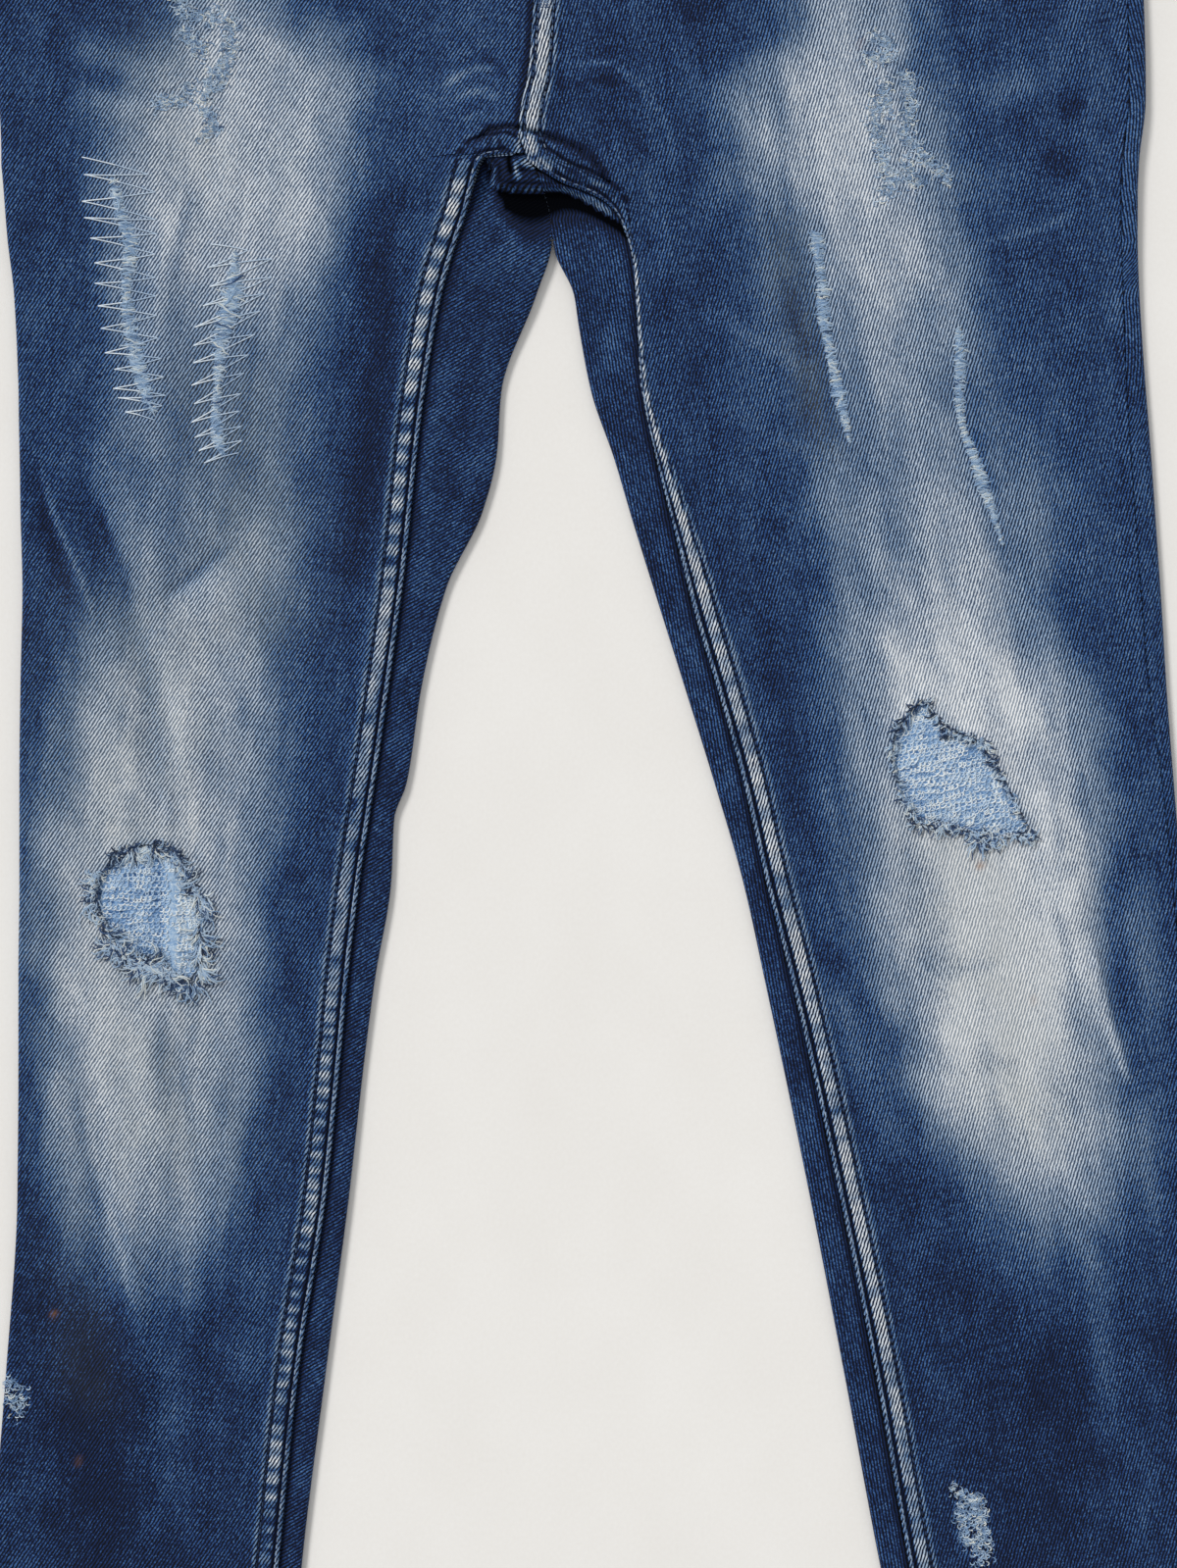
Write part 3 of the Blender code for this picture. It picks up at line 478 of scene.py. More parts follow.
hemBand = dict(width=13.0, rise=0.9)
tearEdges = dict(
    right=dict(middle=(-195, -328), line=(
        (-213, -299), (-205, -296.5), (-194, -296), (-186.5, -297.5), (-181, -306), (-176, -314),
        (-170.5, -322), (-170, -329), (-172.5, -338), (-173, -348), (-172.5, -356), (-178, -361),
        (-184, -359), (-189, -353.5), (-194, -350.5), (-201, -349.5), (-208, -347), (-214.5, -341),
        (-218.5, -333), (-223.6, -327), (-223, -315), (-218.5, -306))),
    left=dict(middle=(198, -262), line=(
        (181, -224), (186, -228), (192.6, -239), (201, -242), (211, -246), (214.6, -252), (220, -260),
        (224, -269), (229, -278.5), (233.5, -287), (231, -291), (224, -290), (217, -292.5), (210, -290),
        (201, -287.5), (195, -285), (186, -284.5), (178, -281.5), (175, -277), (170.5, -270), (168, -261),
        (166.4, -252), (168, -241), (175, -231))),
)


def tearReach(side, angle):
    # Distance from a tear's middle to its edge, by angle: straight steps between the outline's corners.
    tear = tearEdges[side]
    points = np.array(tear["line"], float) - tear["middle"]
    angles = np.arctan2(points[:, 1], points[:, 0])
    order = np.argsort(angles)
    angles, reach = angles[order], np.hypot(points[:, 0], points[:, 1])[order]
    angles = np.concatenate([angles - 2 * math.pi, angles, angles + 2 * math.pi])
    return np.interp(angle, angles, np.tile(reach, 3))


def tearDistance(x, y, side):
    # How far a point lies outside a tear's edge, measured from the tear's middle.
    mx, my = tearEdges[side]["middle"]
    return np.hypot(x - mx, y - my) - tearReach(side, np.arctan2(y - my, x - mx))


def aboveHem(x, y, side):
    # Height above the slanting hem.
    return y - (cut["hem"] + halves[side]["tilt"] * (x - halves[side]["hemMiddle"]))


def frontHeight(x, y, side):
    # A front's outer face: the cloth, its bands, a roped hem and the lifted edge of its tear.
    height = topside(x, y) + frontTone(x, y, side)[0]
    up = aboveHem(x, y, side)
    rope = np.sin(2 * math.pi * (x + 0.8 * up) / 8.5 + 2 * softNoise(x, 0 * x, 30, 21))
    height = height + between(up, 0.8, hemBand["width"], 1.2) * (hemBand["rise"] + 0.18 * rope)
    height = height - 0.5 * bell(up - hemBand["width"] + 2.2, 0.9)
    away = tearDistance(x, y, side)
    return height + 0.9 * bell(away, 4) + 0.5 * bell(away, 6) * softNoise(x, y, 5, 31)


# Where the abraded front of each leg starts and ends, and how pale it is.
fadeShape = dict(
    right=table(
        "level low high amount",
        (-776, -204, -194, 0),
        (-560, -204, -190, 0),
        (-530, -218, -166, 0.07),
        (-500, -234, -160, 0.34),
        (-460, -246, -156, 0.6),
        (-430, -252, -154, 0.7),
        (-400, -252, -148, 0.74),
        (-340, -252, -146, 0.78),
        (-280, -248, -144, 0.77),
        (-230, -236, -142, 0.74),
        (-195, -222, -140, 0.62),
        (-160, -212, -132, 0.46),
        (-130, -228, -130, 0.38),
        (-100, -222, -136, 0.32),
        (-60, -208, -130, 0.36),
        (-30, -212, -122, 0.5),
        (0, -214, -106, 0.68),
        (25, -218, -96, 0.75),
        (50, -216, -94, 0.7),
        (80, -202, -96, 0.62),
        (110, -184, -138, 0.54),
        (150, -180, -142, 0.4),
        (200, -170, -150, 0),
    ),
    left=table(
        "level low high amount",
        (-776, 250, 262, 0),
        (-540, 236, 262, 0),
        (-510, 232, 268, 0.14),
        (-480, 216, 270, 0.38),
        (-450, 194, 272, 0.66),
        (-420, 180, 268, 0.86),
        (-380, 170, 266, 0.95),
        (-340, 160, 271, 0.97),
        (-310, 156, 269, 0.96),
        (-280, 152, 268, 0.91),
        (-250, 146, 260, 0.89),
        (-220, 144, 254, 0.88),
        (-190, 144, 236, 0.79),
        (-160, 140, 232, 0.62),
        (-130, 130, 238, 0.5),
        (-100, 138, 226, 0.43),
        (-70, 136, 210, 0.5),
        (-40, 128, 205, 0.6),
        (-10, 122, 199, 0.7),
        (20, 104, 188, 0.73),
        (50, 92, 184, 0.75),
        (80, 94, 178, 0.67),
        (110, 122, 176, 0.55),
        (150, 124, 170, 0.4),
        (200, 130, 150, 0),
    ),
)
brushed = dict(softness=38, wander=9, palest=1.0, curve=1.25)
fadeMarks = (  # amounts above 0 are paler, below 0 darker
    mark(24, 0.22, (-160, 128), (-152, 60), (-144, -14), blunt=1),
    mark(10, 0.22, (-196, 62), (-222, 66), (-244, 76)),
    mark(4.5, 0.4, (-165, 126), (-164, 100), (-168, 80), (-179, 62), blunt=0.6),
    mark(4, 0.4, (160, 88), (162, 70), blunt=1),
    mark(4.5, 0.4, (166, 64), (170, 48), (179, 34), blunt=0.6),
    mark(8, 0.14, (-186, 80), (-214, 92), (-236, 96)),
    mark(1.9, 0.42, (-179, 36), (-185, 12), (-192, -18), (-193, -60), right=0.6),
    mark(4, 0.16, (-116, 30), (-122, 6), (-126, -20)),
    mark(5, 0.12, (-134, 14), (-130, -6), (-132, -30)),
    mark(14, 0.16, (-216, 30), (-208, -6), (-205, -60), (-196, -96), blunt=0.6),
    mark(16, 0.22, (-130, -150), (-150, -160), (-166, -176), blunt=0.6),
    mark(12, 0.26, (-176, -170), (-178, -230), (-172, -300), blunt=0.6),
    mark(9, 0.3, (-196, -150), (-193, -190), (-190, -230), (-188, -262), blunt=0.4),
    mark(10, 0.12, (-150, -190), (-146, -240)),
    mark(15, 0.22, (-232, -300), (-228, -350), (-216, -400), blunt=0.6),
    mark(8, 0.2, (-206, -376), (-205, -420), (-202, -470), blunt=0.4),
    mark(5, 0.22, (-214, -420), (-208, -470), (-202, -540)),
    mark(6, 0.22, (-180, -440), (-177, -480), (-177, -540)),
    mark(7, 0.08, (-150, -300), (-152, -360), (-158, -420)),
    mark(11, 0.13, (-110, 4), (-114, -50), (-122, -104), blunt=0.7),
    mark(12, 0.12, (-132, -478), (-142, -520), (-150, -556), blunt=0.7),
    mark(9, 0.12, (-152, 116), (-155, 80), (-160, 46), blunt=0.7),
    mark(8, 0.12, (-190, -520), (-188, -580), (-190, -640)),
    mark(20, 0.24, (132, 130), (140, 60), (150, 0), blunt=1),
    mark(8, 0.4, (164, 134), (168, 112), (170, 94), blunt=1),
    mark(10, 0.2, (138, -366), (152, -404), (169, -442), blunt=0.7),
    mark(12, 0.12, (204, -482), (226, -506), (246, -530), blunt=0.7),
    mark(8, 0.24, (138, -108), (142, -145), (146, -180), blunt=0.7),
    mark(10, 0.08, (208, 24), (224, 16), (234, -14), blunt=0.7),
    mark(16, 0.18, (160, -20), (172, -70), (186, -130), blunt=1),
    mark(10, 0.2, (188, -120), (206, -180), (214, -220), blunt=0.6),
    mark(8, 0.22, (222, -140), (238, -190), (250, -240)),
    mark(18, 0.4, (196, -312), (210, -336), (226, -372), blunt=1),
    mark(20, 0.4, (214, -310), (226, -340), (244, -400), blunt=1),
    mark(16, 0.4, (222, -400), (238, -430), (250, -462), blunt=0.6),
    mark(2.2, 0.5, (262, -348), (267, -372), (275, -396), (285, -418), right=0.7, taper=0.2),
    mark(3.4, 0.24, (244, -312), (251, -330), (255, -350), right=0.7),
    mark(6, 0.22, (286, -424), (291, -450), (296, -480), blunt=0.4),
    mark(7, 0.16, (282, -300), (290, -350), (296, -390)),
    mark(7, 0.14, (262, -480), (268, -540), (276, -600)),
    mark(1.5, 0.34, (-253, -102), (-245, -132), (-236.5, -152), (-229, -169), (-225, -182), (-222, -197)),
    mark(2.4, 0.3, (-217, -149), (-212, -162), (-206, -178), (-200, -190)),
    mark(3.2, 0.3, (-199, -190), (-195, -214), (-190, -242), (-186, -282), right=0.4, taper=0.15),
    mark(7, 0.16, (-138, -132), (-157, -152), (-185, -179)),
    mark(1.5, 0.42, (-187, -366), (-184, -382), (-179, -403), (-174, -438), (-169, -474)),
    mark(2.2, 0.36, (-233, -404), (-227, -436), (-221, -462), (-212, -492), (-203, -536), right=0.6),
    mark(1.3, 0.4, (262, -334), (267, -356), (273, -381), (280, -404), (285, -418)),
    # faint whiskers beside the crotch and on the hips
    mark(4, 0.12, (60, -28), (88, -42), (118, -60), (146, -84)),
    mark(5, 0.12, (66, -70), (92, -88), (126, -104), (150, -130)),
    mark(5, 0.08, (70, -100), (98, -120), (130, -146)),
    mark(1.8, 0.24, (2, 82), (16, 86), (30, 86), (44, 74), (56, 56), (62, 36)),
    mark(12, 0.1, (-60, 58), (-46, 74), (-34, 84)),
    mark(2, 0.12, (27, 50), (42, 31), (55, 12), (59, -14), (61, -28)),
    mark(1.5, 0.34, (-50, 68), (-36, 72), (-23, 68)),
    mark(1.6, 0.34, (-56, 72), (-42, 82), (-22, 83)),
    mark(2.4, 0.16, (-54, 90), (-38, 92), (-24, 98)),
    mark(1.4, 0.2, (-48, 56), (-36, 60), (-24, 58)),
    mark(9, 0.14, (96, 70), (76, 74), (60, 80)),
    mark(2.2, 0.16, (206, -2), (232, 4), (264, 16)),
    mark(19, 0.13, (230, -56), (246, -104), (268, -164), blunt=0.8),
    mark(11, 0.14, (289, -320), (293, -380), (297, -444), blunt=0.8),
    mark(12, 0.14, (97, 4), (106, -24), (102, -74), blunt=0.8),
    mark(9, 0.13, (-117, 12), (-122, -20), (-131, -60), (-135, -156), blunt=0.6),
    mark(7, 0.14, (204, 60), (228, 74), (262, 86)),
    mark(7, 0.2, (-246, 104), (-222, 88), (-196, 84)),
    mark(6, 0.16, (-236, 76), (-214, 66), (-188, 62)),
    mark(9, 0.22, (-122, 112), (-104, 100), (-84, 108)),
    mark(8, 0.16, (-116, 86), (-104, 72), (-92, 66)),
    mark(9, 0.1, (100, 36), (80, 26), (66, 12)),
    mark(9, 0.14, (186, 80), (212, 74), (240, 84)),
    mark(9, 0.12, (190, 40), (214, 30), (246, 36)),
    mark(8, 0.08, (250, 130), (270, 60), (276, -40), blunt=1),
    # creases and hollows, darker: painted shade in them, and blue that wear left there
    mark(8, -0.15, (-163, -356), (-163, -410), (-166, -464), blunt=0.5),
    mark(11, -0.24, (174, -304), (183, -340), (187, -378), blunt=0.6),
    mark(4, -0.16, (-175, 30), (-181, 4), (-187, -26)),
    mark(5, -0.22, (-192, -366), (-192, -400), (-189, -440)),
    mark(9, -0.12, (-180, -60), (-180, -90), (-176, -120)),
    mark(4, -0.2, (-232, -104), (-222, -146), (-208, -178), (-196, -212), (-189, -246), (-187, -290),
         taper=0.25, right=1.8),
    mark(6, -0.14, (-152, -148), (-172, -160), (-196, -178), right=1.6),
    mark(3, -0.2, (-186, -372), (-183, -391), (-177, -420), (-172, -458), (-168, -490), right=1.8),
    mark(6, -0.14, (-240, -380), (-230, -430), (-224, -480), (-222, -560)),
    mark(9, -0.2, (112, 8), (120, -24), (128, -56), (146, -100), right=0.6),
    mark(7, -0.16, (206, -100), (216, -134), (226, -170)),
    mark(6, -0.16, (168, -346), (196, -358), (232, -354)),
    mark(9, -0.3, (136, -232), (145, -290), (152, -350), blunt=0.7),
    mark(7, -0.16, (236, -296), (246, -306), (258, -316)),
    mark(6, -0.12, (196, -392), (214, -404), (236, -402)),
    mark(5, -0.16, (250, -360), (256, -384), (264, -404)),
)
# Painted shade along creases and folds, where the cloth turns from the light; the widest marks darken zones.
shadowMarks = (  # deep blue, as the cloth turns from the light
    mark(3.6, 0.75, (-231, -116), (-222.5, -134), (-216, -151), (-210, -168), (-203, -190), right=0.6),
    mark(3.8, 0.36, (-258, -96), (-251, -126), (-242, -158), (-232, -188)),
    mark(3, 0.5, (-150, -144), (-162, -152), (-172, -160), (-181, -167), (-191, -176), right=0.6),
    mark(3, 0.3, (-238, -404), (-232, -438), (-226, -464), (-218, -494), right=0.6),
    mark(3, 0.4, (236, -299), (244, -322), (252, -350), (262, -380), (277, -409), right=0.7),
    mark(22, 0.12, (24, 132), (24, 98), (22, 72), blunt=1),
    mark(4, 0.22, (-202, -200), (-198, -226), (-195, -250), (-191, -284)),
    mark(4, 0.34, (109, -2), (116, -24), (123, -56), (128, -108), right=0.7),
    mark(4, 0.3, (250, -300), (262, -322), (268, -352), (274, -384)),
    mark(4, 0.5, (206, -96), (209, -106), (213, -118), blunt=1),
    mark(4, 0.3, (-233, -110), (-223, -146), (-210, -176), right=2),
    mark(5, 0.3, (270, -284), (276, -330), (281, -390), right=2),
    mark(2.4, 0.45, (4, 73), (18, 77), (27, 78), (38, 69)),
    mark(4, 0.3, (30, 62), (40, 52), (48, 36)),
    mark(3, 0.25, (-40, 96), (-28, 84), (-22, 76)),
    mark(6, 0.4, (246, 62), (256, 66), (264, 68)),
    mark(7, 0.34, (236, 42), (250, 36), (258, 30)),
    mark(6, 0.1, (222, -8), (236, -6), (252, -10)),
    mark(8, 0.3, (60, 104), (72, 112), (90, 118)),
    mark(8, 0.25, (-250, 100), (-238, 96), (-226, 92)),
    mark(20, 0.34, (-228, -545), (-222, -600), (-222, -690), blunt=0.7),
    mark(26, 0.2, (242, -530), (246, -600), (250, -700), blunt=0.6),
    mark(12, 0.34, (-84, 16), (-84, -40), (-90, -116), (-98, -160), blunt=0.5),
    mark(10, 0.14, (96, -140), (106, -200), (116, -260), (134, -340)),
)
dirtMarks = (
    mark(10, 0.36, (112, 6), (118, -30), (126, -60), (134, -98), blunt=0.6),
    mark(16, 0.12, (-236, -480), (-228, -560), blunt=1),
    mark(24, 0.2, (-190, 90), (-180, 40), blunt=1),
    mark(30, 0.3, (-160, -80), (-150, -130), (-150, -180), blunt=1),
    mark(30, 0.34, (196, -300), (212, -345), (230, -420), blunt=1),
    mark(40, 0.3, (-200, -200), (-210, -330), (-196, -430), blunt=1),
)
flecks = (  # small stains: place, size, how brown
    (-244, -526, 1.6, 0.45), (209.7, -306, 1.9, 0.7), (236, -372, 2.2, 0.25), (-232, -598, 1.6, 0.3),
    (150, 96, 1.8, 0.25),
)

# Rubbed rows: where they run on each front, and how many curls stand in a millimetre of them.
nubs = (
    dict(name="rubbed_nubs_right", side="right", seed=95, density=2.1, lines=(
        ((-183, 128), (-180, 120), (-183, 113), (-176, 111), (-171, 108)),
        ((-182, 103), (-177, 98), (-171, 92)), ((-178, 100), (-173, 96), (-170, 90)),
        ((-160, 109), (-156.6, 105), (-157.6, 99), (-157, 93), (-159, 90)),
        ((-176, 74.5), (-181, 68.6), (-188.4, 68.6), (-193, 64)),
        ((-157, 87), (-161, 83), (-162, 77), (-164, 72.5)),
        ((-171, 66), (-168, 59), (-164, 55.4), (-171, 52)), ((-164, 112.7), (-167, 105)),
        ((-162, 86), (-171, 68)))),
    dict(name="rubbed_nubs_left", side="left", seed=96, density=2.0, lines=(
        ((153.6, 88), (160, 89.5), (166.8, 89.7)),
        ((172, 82), (175, 73.5), (175.6, 64.7), (172, 51.5), (180.8, 42.7), (188, 34.6), (194, 28.7)),
        ((158, 69), (157, 59), (160, 49), (162.4, 37), (166.8, 28.7), (161.7, 20)),
        ((175.6, 25.8), (181.5, 29.4)), ((162.4, 77), (164.6, 60)), ((172, 40), (175, 30)),
        ((157, 100), (166, 95)))),
    dict(name="rubbed_nubs_shin_right", side="right", seed=97, density=1.1, lines=(
        ((-266, -558), (-264, -568), (-262, -576)), ((-262, -562), (-259, -570)),)),
    dict(name="rubbed_nubs_shin_left", side="left", seed=98, density=1.3, lines=(
        ((196, -612), (204, -616), (210, -618)), ((206, -614), (207, -632), (209, -650)),
        ((200, -618), (203, -640)), ((210, -620), (212, -646)),)),
)


def wearOf(x, y, side):
    # Paleness from 0 to 1: blue ground, the brushed shape with a wandering soft edge, and the marks laid on
    # it. With it go each place's painted shade, dirt and brown.
    run = x + halves[side]["lean"] * y
    ground = 0.085 + 0.03 * softNoise(run, y * 0.4, 34, 41) + 0.02 * smooth((y + 460) / 240)
    ground = ground + 0.02 * softNoise(run, y * 0.8, 13, 49)
    ground = ground - 0.025 * smooth((-470 - y) / 70)
    shape = fadeShape[side]
    wander = brushed["wander"] * (softNoise(run, y * 0.4, 36, 44) + 0.5 * softNoise(run, y * 0.7, 14, 45))
    low, high = column(shape, "low", y) + wander, column(shape, "high", y) + wander
    soft = brushed["softness"] * (1 + 0.5 * smooth((y + 320) / 120))
    inner = soft * (1 + 0.45 * smooth((-200 - y) / 80))  # beside the inseam it fades more slowly down the leg
    lowSoft = soft if side == "right" else inner
    pale = column(shape, "amount", y) * smooth((x - low) / lowSoft + 0.5) * smooth((high - x) / inner + 0.5)
    broken = 1 + 0.1 * softNoise(run, y * 0.3, 12, 42) + 0.06 * softNoise(run, y, 4.2, 43)
    streaks = 0.075 * softNoise(run, y * 0.1, 5, 47) + 0.07 * softNoise(run + 0.6 * y, y * 0.3, 9, 48)
    pale = pale * broken + streaks * smooth(pale * 4)
    for faded in fadeMarks:
        laid = faded["strength"] * stroke(x, y, faded)
        pale = pale + laid * np.where(laid > 0, 1 - np.clip(pale, 0, 1), pale + 0.15)
    fade = ground + (brushed["palest"] - ground) * np.clip(pale, 0, 1) ** brushed["curve"]

    rubbed = np.zeros(np.shape(x))
    for patch in nubs:
        if patch["side"] == side:
            for line in patch["lines"]:
                rubbed = np.maximum(rubbed, bell(nearLine(x, y, line)[0], 3.2))
    # painted shade in the gaps between the curls of the rubbed rows, and pale spots of wear among them
    spots = softNoise(x, y, 2.4, 50)
    shade = np.maximum(strongest(x, y, shadowMarks), 0.55 * rubbed * smooth(0.5 - 2.5 * spots))
    fade = fade + 0.3 * rubbed * smooth(0.3 + 2.5 * spots)
    brown = np.zeros(np.shape(x))
    for fx, fy, size, amount in flecks:
        brown = np.maximum(brown, amount * bell(np.hypot(x - fx, y - fy), size))
    return fade, shade, strongest(x, y, dirtMarks), brown


def newMesh(name, points, faces, material):
    # Points are in the draft's millimetres. Faces have 4 corners, and a triangle repeats its last one.
    mesh = bpy.data.meshes.new(name)
    triangle = faces[:, 2] == faces[:, 3]
    counts = np.where(triangle, 3, 4)
    flat = faces.ravel()[(np.arange(4) < counts[:, None]).ravel()]
    mesh.vertices.add(len(points))
    mesh.vertices.foreach_set("co", (points * mm + draftShift).astype(np.float32).ravel())
    mesh.loops.add(len(flat))
    mesh.loops.foreach_set("vertex_index", flat.astype(np.int32))
    mesh.polygons.add(len(faces))
    starts = np.concatenate([[0], np.cumsum(counts)[:-1]])
    mesh.polygons.foreach_set("loop_start", starts.astype(np.int32))
    mesh.update(calc_edges=True)
    mesh.validate()
    made = bpy.data.objects.new(name, mesh)
    bpy.context.scene.collection.objects.link(made)
    mesh.materials.append(material)
    mesh.shade_smooth()
    mesh.set_sharp_from_angle(angle=math.radians(52))
    return made


def setAttribute(made, name, values):
    # One number for each vertex, which the material reads by name.
    made.data.attributes.new(name, "FLOAT", "POINT").data.foreach_set("value", np.asarray(values, np.float32))


def setUv(made, places):
    # One UV place for each vertex, in metres of cloth.
    corners = np.empty(len(made.data.loops), np.int32)
    made.data.loops.foreach_get("vertex_index", corners)
    layer = made.data.uv_layers.new(name="weave")
    layer.data.foreach_set("uv", (places[corners] * mm).astype(np.float32).ravel())


def clothShell(name, grid, material, tones, keep=None, wall=cut["wall"], facesUp=True, judge=None, uv=None,
               turn=0.0):
    # A cloth wall on a grid of its outer face: the inner face lies one wall inwards along the corner
    # normals, and a rim closes every open edge. keep says which cells are cloth, turn is the grain's angle
    # in degrees, and the first few columns, as many as judge says, must face up or down.
    rows, columns = grid.shape[:2]
    keep = np.ones((rows - 1, columns - 1), bool) if keep is None else keep
    cross = np.cross(grid[1:, 1:] - grid[:-1, :-1], grid[1:, :-1] - grid[:-1, 1:]) * keep[..., None]
    normal = np.zeros(grid.shape)
    for dr in (0, 1):
        for dc in (0, 1):
            normal[dr:rows - 1 + dr, dc:columns - 1 + dc] += cross
    normal /= np.maximum(np.linalg.norm(normal, axis=2, keepdims=True), 1e-9)
    flip = (cross[:, :judge, 2].sum() > 0) != facesUp
    if flip:
        normal = -normal
    inner = grid - normal * wall
    more = rows * columns
    index = np.arange(more).reshape(rows, columns)
    a, b, c, d = index[:-1, :-1], index[:-1, 1:], index[1:, 1:], index[1:, :-1]
    outerFaces = np.stack([a, b, c, d], -1)[keep]
    faces = [outerFaces, outerFaces[:, ::-1] + more]
    around = np.pad(keep, 1)
    beside = (around[:-2, 1:-1], around[1:-1, 2:], around[2:, 1:-1], around[1:-1, :-2])
    for (p, q), neighbour in zip(((a, b), (b, c), (c, d), (d, a)), beside):
        edge = keep & ~neighbour
        faces.append(np.stack([q[edge], p[edge], p[edge] + more, q[edge] + more], -1))
    faces = np.concatenate(faces)
    if flip:
        faces = faces[:, ::-1]
    used, faces = np.unique(faces, return_inverse=True)
    points = np.concatenate([grid.reshape(-1, 3), inner.reshape(-1, 3)])[used]
    made = newMesh(name, points, faces.reshape(-1, 4), material)
    places = grid[..., :2] if uv is None else uv
    angle = math.radians(-turn)
    turned = places @ np.array([[math.cos(angle), math.sin(angle)], [-math.sin(angle), math.cos(angle)]])
    setUv(made, np.concatenate([turned.reshape(-1, 2)] * 2)[used])
    setAttribute(made, "inside", np.repeat([0.0, 1.0], more)[used])
    for key, values in tones.items():
        setAttribute(made, key, np.concatenate([np.broadcast_to(values, (rows, columns)).ravel()] * 2)[used])
    return made


def threads(name, slotName, finish, paths, radius, tone, sides):
    # Many thin tubes in one mesh. paths is x, y and z, each (tube, point), as radius is; tone is one for each
    # tube. A ring stands square to its path, on the directions that are level and upright there, and a fan
    # closes each end.
    paths = np.stack(paths, -1)
    count, points = paths.shape[:2]
    ahead = np.gradient(paths, axis=1)
    ahead /= np.maximum(np.linalg.norm(ahead, axis=2, keepdims=True), 1e-9)
    level = np.cross(ahead, np.array([0.0, 0.0, 1.0]))
    size = np.linalg.norm(level, axis=2, keepdims=True)
    level = np.where(size > 0.05, level / np.maximum(size, 1e-9), np.array([1.0, 0.0, 0.0]))
    upright = np.cross(level, ahead)
    angle = np.arange(sides) * 2 * math.pi / sides
    ring = np.cos(angle)[:, None] * level[:, :, None] + np.sin(angle)[:, None] * upright[:, :, None]
    rings = paths[:, :, None] + radius[:, :, None, None] * ring
    tips = paths[:, [0, -1]]
    block = points * sides + 2
    everything = np.concatenate([rings.reshape(count, -1, 3), tips], axis=1).reshape(-1, 3)
    k, s = np.meshgrid(np.arange(points - 1), np.arange(sides), indexing="ij")
    near, far, after = k * sides, (k + 1) * sides, (s + 1) % sides
    quads = np.stack([near + s, near + after, far + after, far + s], -1).reshape(-1, 4)
    first, second = np.arange(sides), (np.arange(sides) + 1) % sides
    last = (points - 1) * sides
    startTip, endTip = np.full(sides, points * sides), np.full(sides, points * sides + 1)
    startFan = np.stack([second, first, startTip, startTip], -1)
    endFan = np.stack([last + first, last + second, endTip, endTip], -1)
    one = np.concatenate([quads, startFan, endFan])[:, ::-1]
    one = np.where(one[:, :1] == one[:, 1:2], np.roll(one, -1, axis=1), one)
    faces = (one[None] + block * np.arange(count)[:, None, None]).reshape(-1, 4)
    piece = newMesh(name, everything, faces, finishes[finish])
    setAttribute(piece, "tone", np.repeat(tone, block))
    return place(piece, slotName)


def linear(code):
    # An sRGB hex colour as linear RGBA.
    parts = [int(code[i:i + 2], 16) / 255 for i in (1, 3, 5)]
    return tuple(p / 12.92 if p <= 0.04045 else ((p + 0.055) / 1.055) ** 2.4 for p in parts) + (1.0,)


def addNode(tree, kind, inputs=(), stops=(), **settings):
    # Adds a node with its settings. Inputs go by order or name, and a node links from its first live output.
    node = tree.nodes.new("ShaderNode" + kind)
    for key, value in settings.items():
        setattr(node, key, value)
    for _ in stops[2:]:
        node.color_ramp.elements.new(0.5)
    for element, (spot, code) in zip(node.color_ramp.elements if stops else (), stops):
        element.position = spot
        element.color = linear(code)
    for key, value in inputs.items() if isinstance(inputs, dict) else enumerate(inputs):
        if isinstance(value, bpy.types.Node):
            value = next(socket for socket in value.outputs if socket.enabled)
        if isinstance(value, bpy.types.NodeSocket):
            tree.links.new(value, node.inputs[key])
        else:
            node.inputs[key].default_value = value
    return node


def newMaterial(name, roughness, metallic=0.0, sheen=0.0):
    # A named material, its tree and its shader; cloth mirrors less than metal.
    made = bpy.data.materials.new(name)
    made.use_nodes = True
    tree = made.node_tree
    shader = tree.nodes["Principled BSDF"]
    shader.inputs["Roughness"].default_value = roughness
    shader.inputs["Metallic"].default_value = metallic
    shader.inputs["Sheen Weight"].default_value = sheen
    shader.inputs["IOR"].default_value = 1.5
    shader.inputs["Specular IOR Level"].default_value = 0.5 if metallic else 0.22
    return made, tree, shader


def layered(tree, where, start, layers):
    # Adds layers of noise to a value: each has its size in millimetres both ways, a turn and an amount.
    total, made = start, {}
    for name, layer in layers.items():
        wide, high = (1 / (side * mm) for side in layer["size"])
        turn = math.radians(layer.get("turn", 0))
        spot = addNode(tree, "Mapping", {"Vector": where, "Rotation": (0, 0, turn),
                                         "Scale": (wide, high, wide)})
        made[name] = addNode(tree, "TexNoise", {
            "Vector": spot, "Scale": 1.0, "Detail": layer.get("detail", 2.0), "Roughness": 0.65,
            "Distortion": layer.get("curl", 0.0)})
        centred = addNode(tree, "MapRange", {"Value": made[name], "To Min": -layer["amount"],
                                             "To Max": layer["amount"]})
        total = addNode(tree, "Math", (total, centred), operation="ADD")
    return total, made


def coat(tree, shader, tone, stops, strength, depth):
    # Colours a shader by a tone, and raises its surface by it.
    colour = addNode(tree, "ValToRGB", (tone,), stops=stops)
    tree.links.new(colour.outputs["Color"], shader.inputs["Base Color"])
    relief = addNode(tree, "Bump", {"Height": tone, "Strength": strength, "Distance": depth})
    tree.links.new(relief.outputs["Normal"], shader.inputs["Normal"])


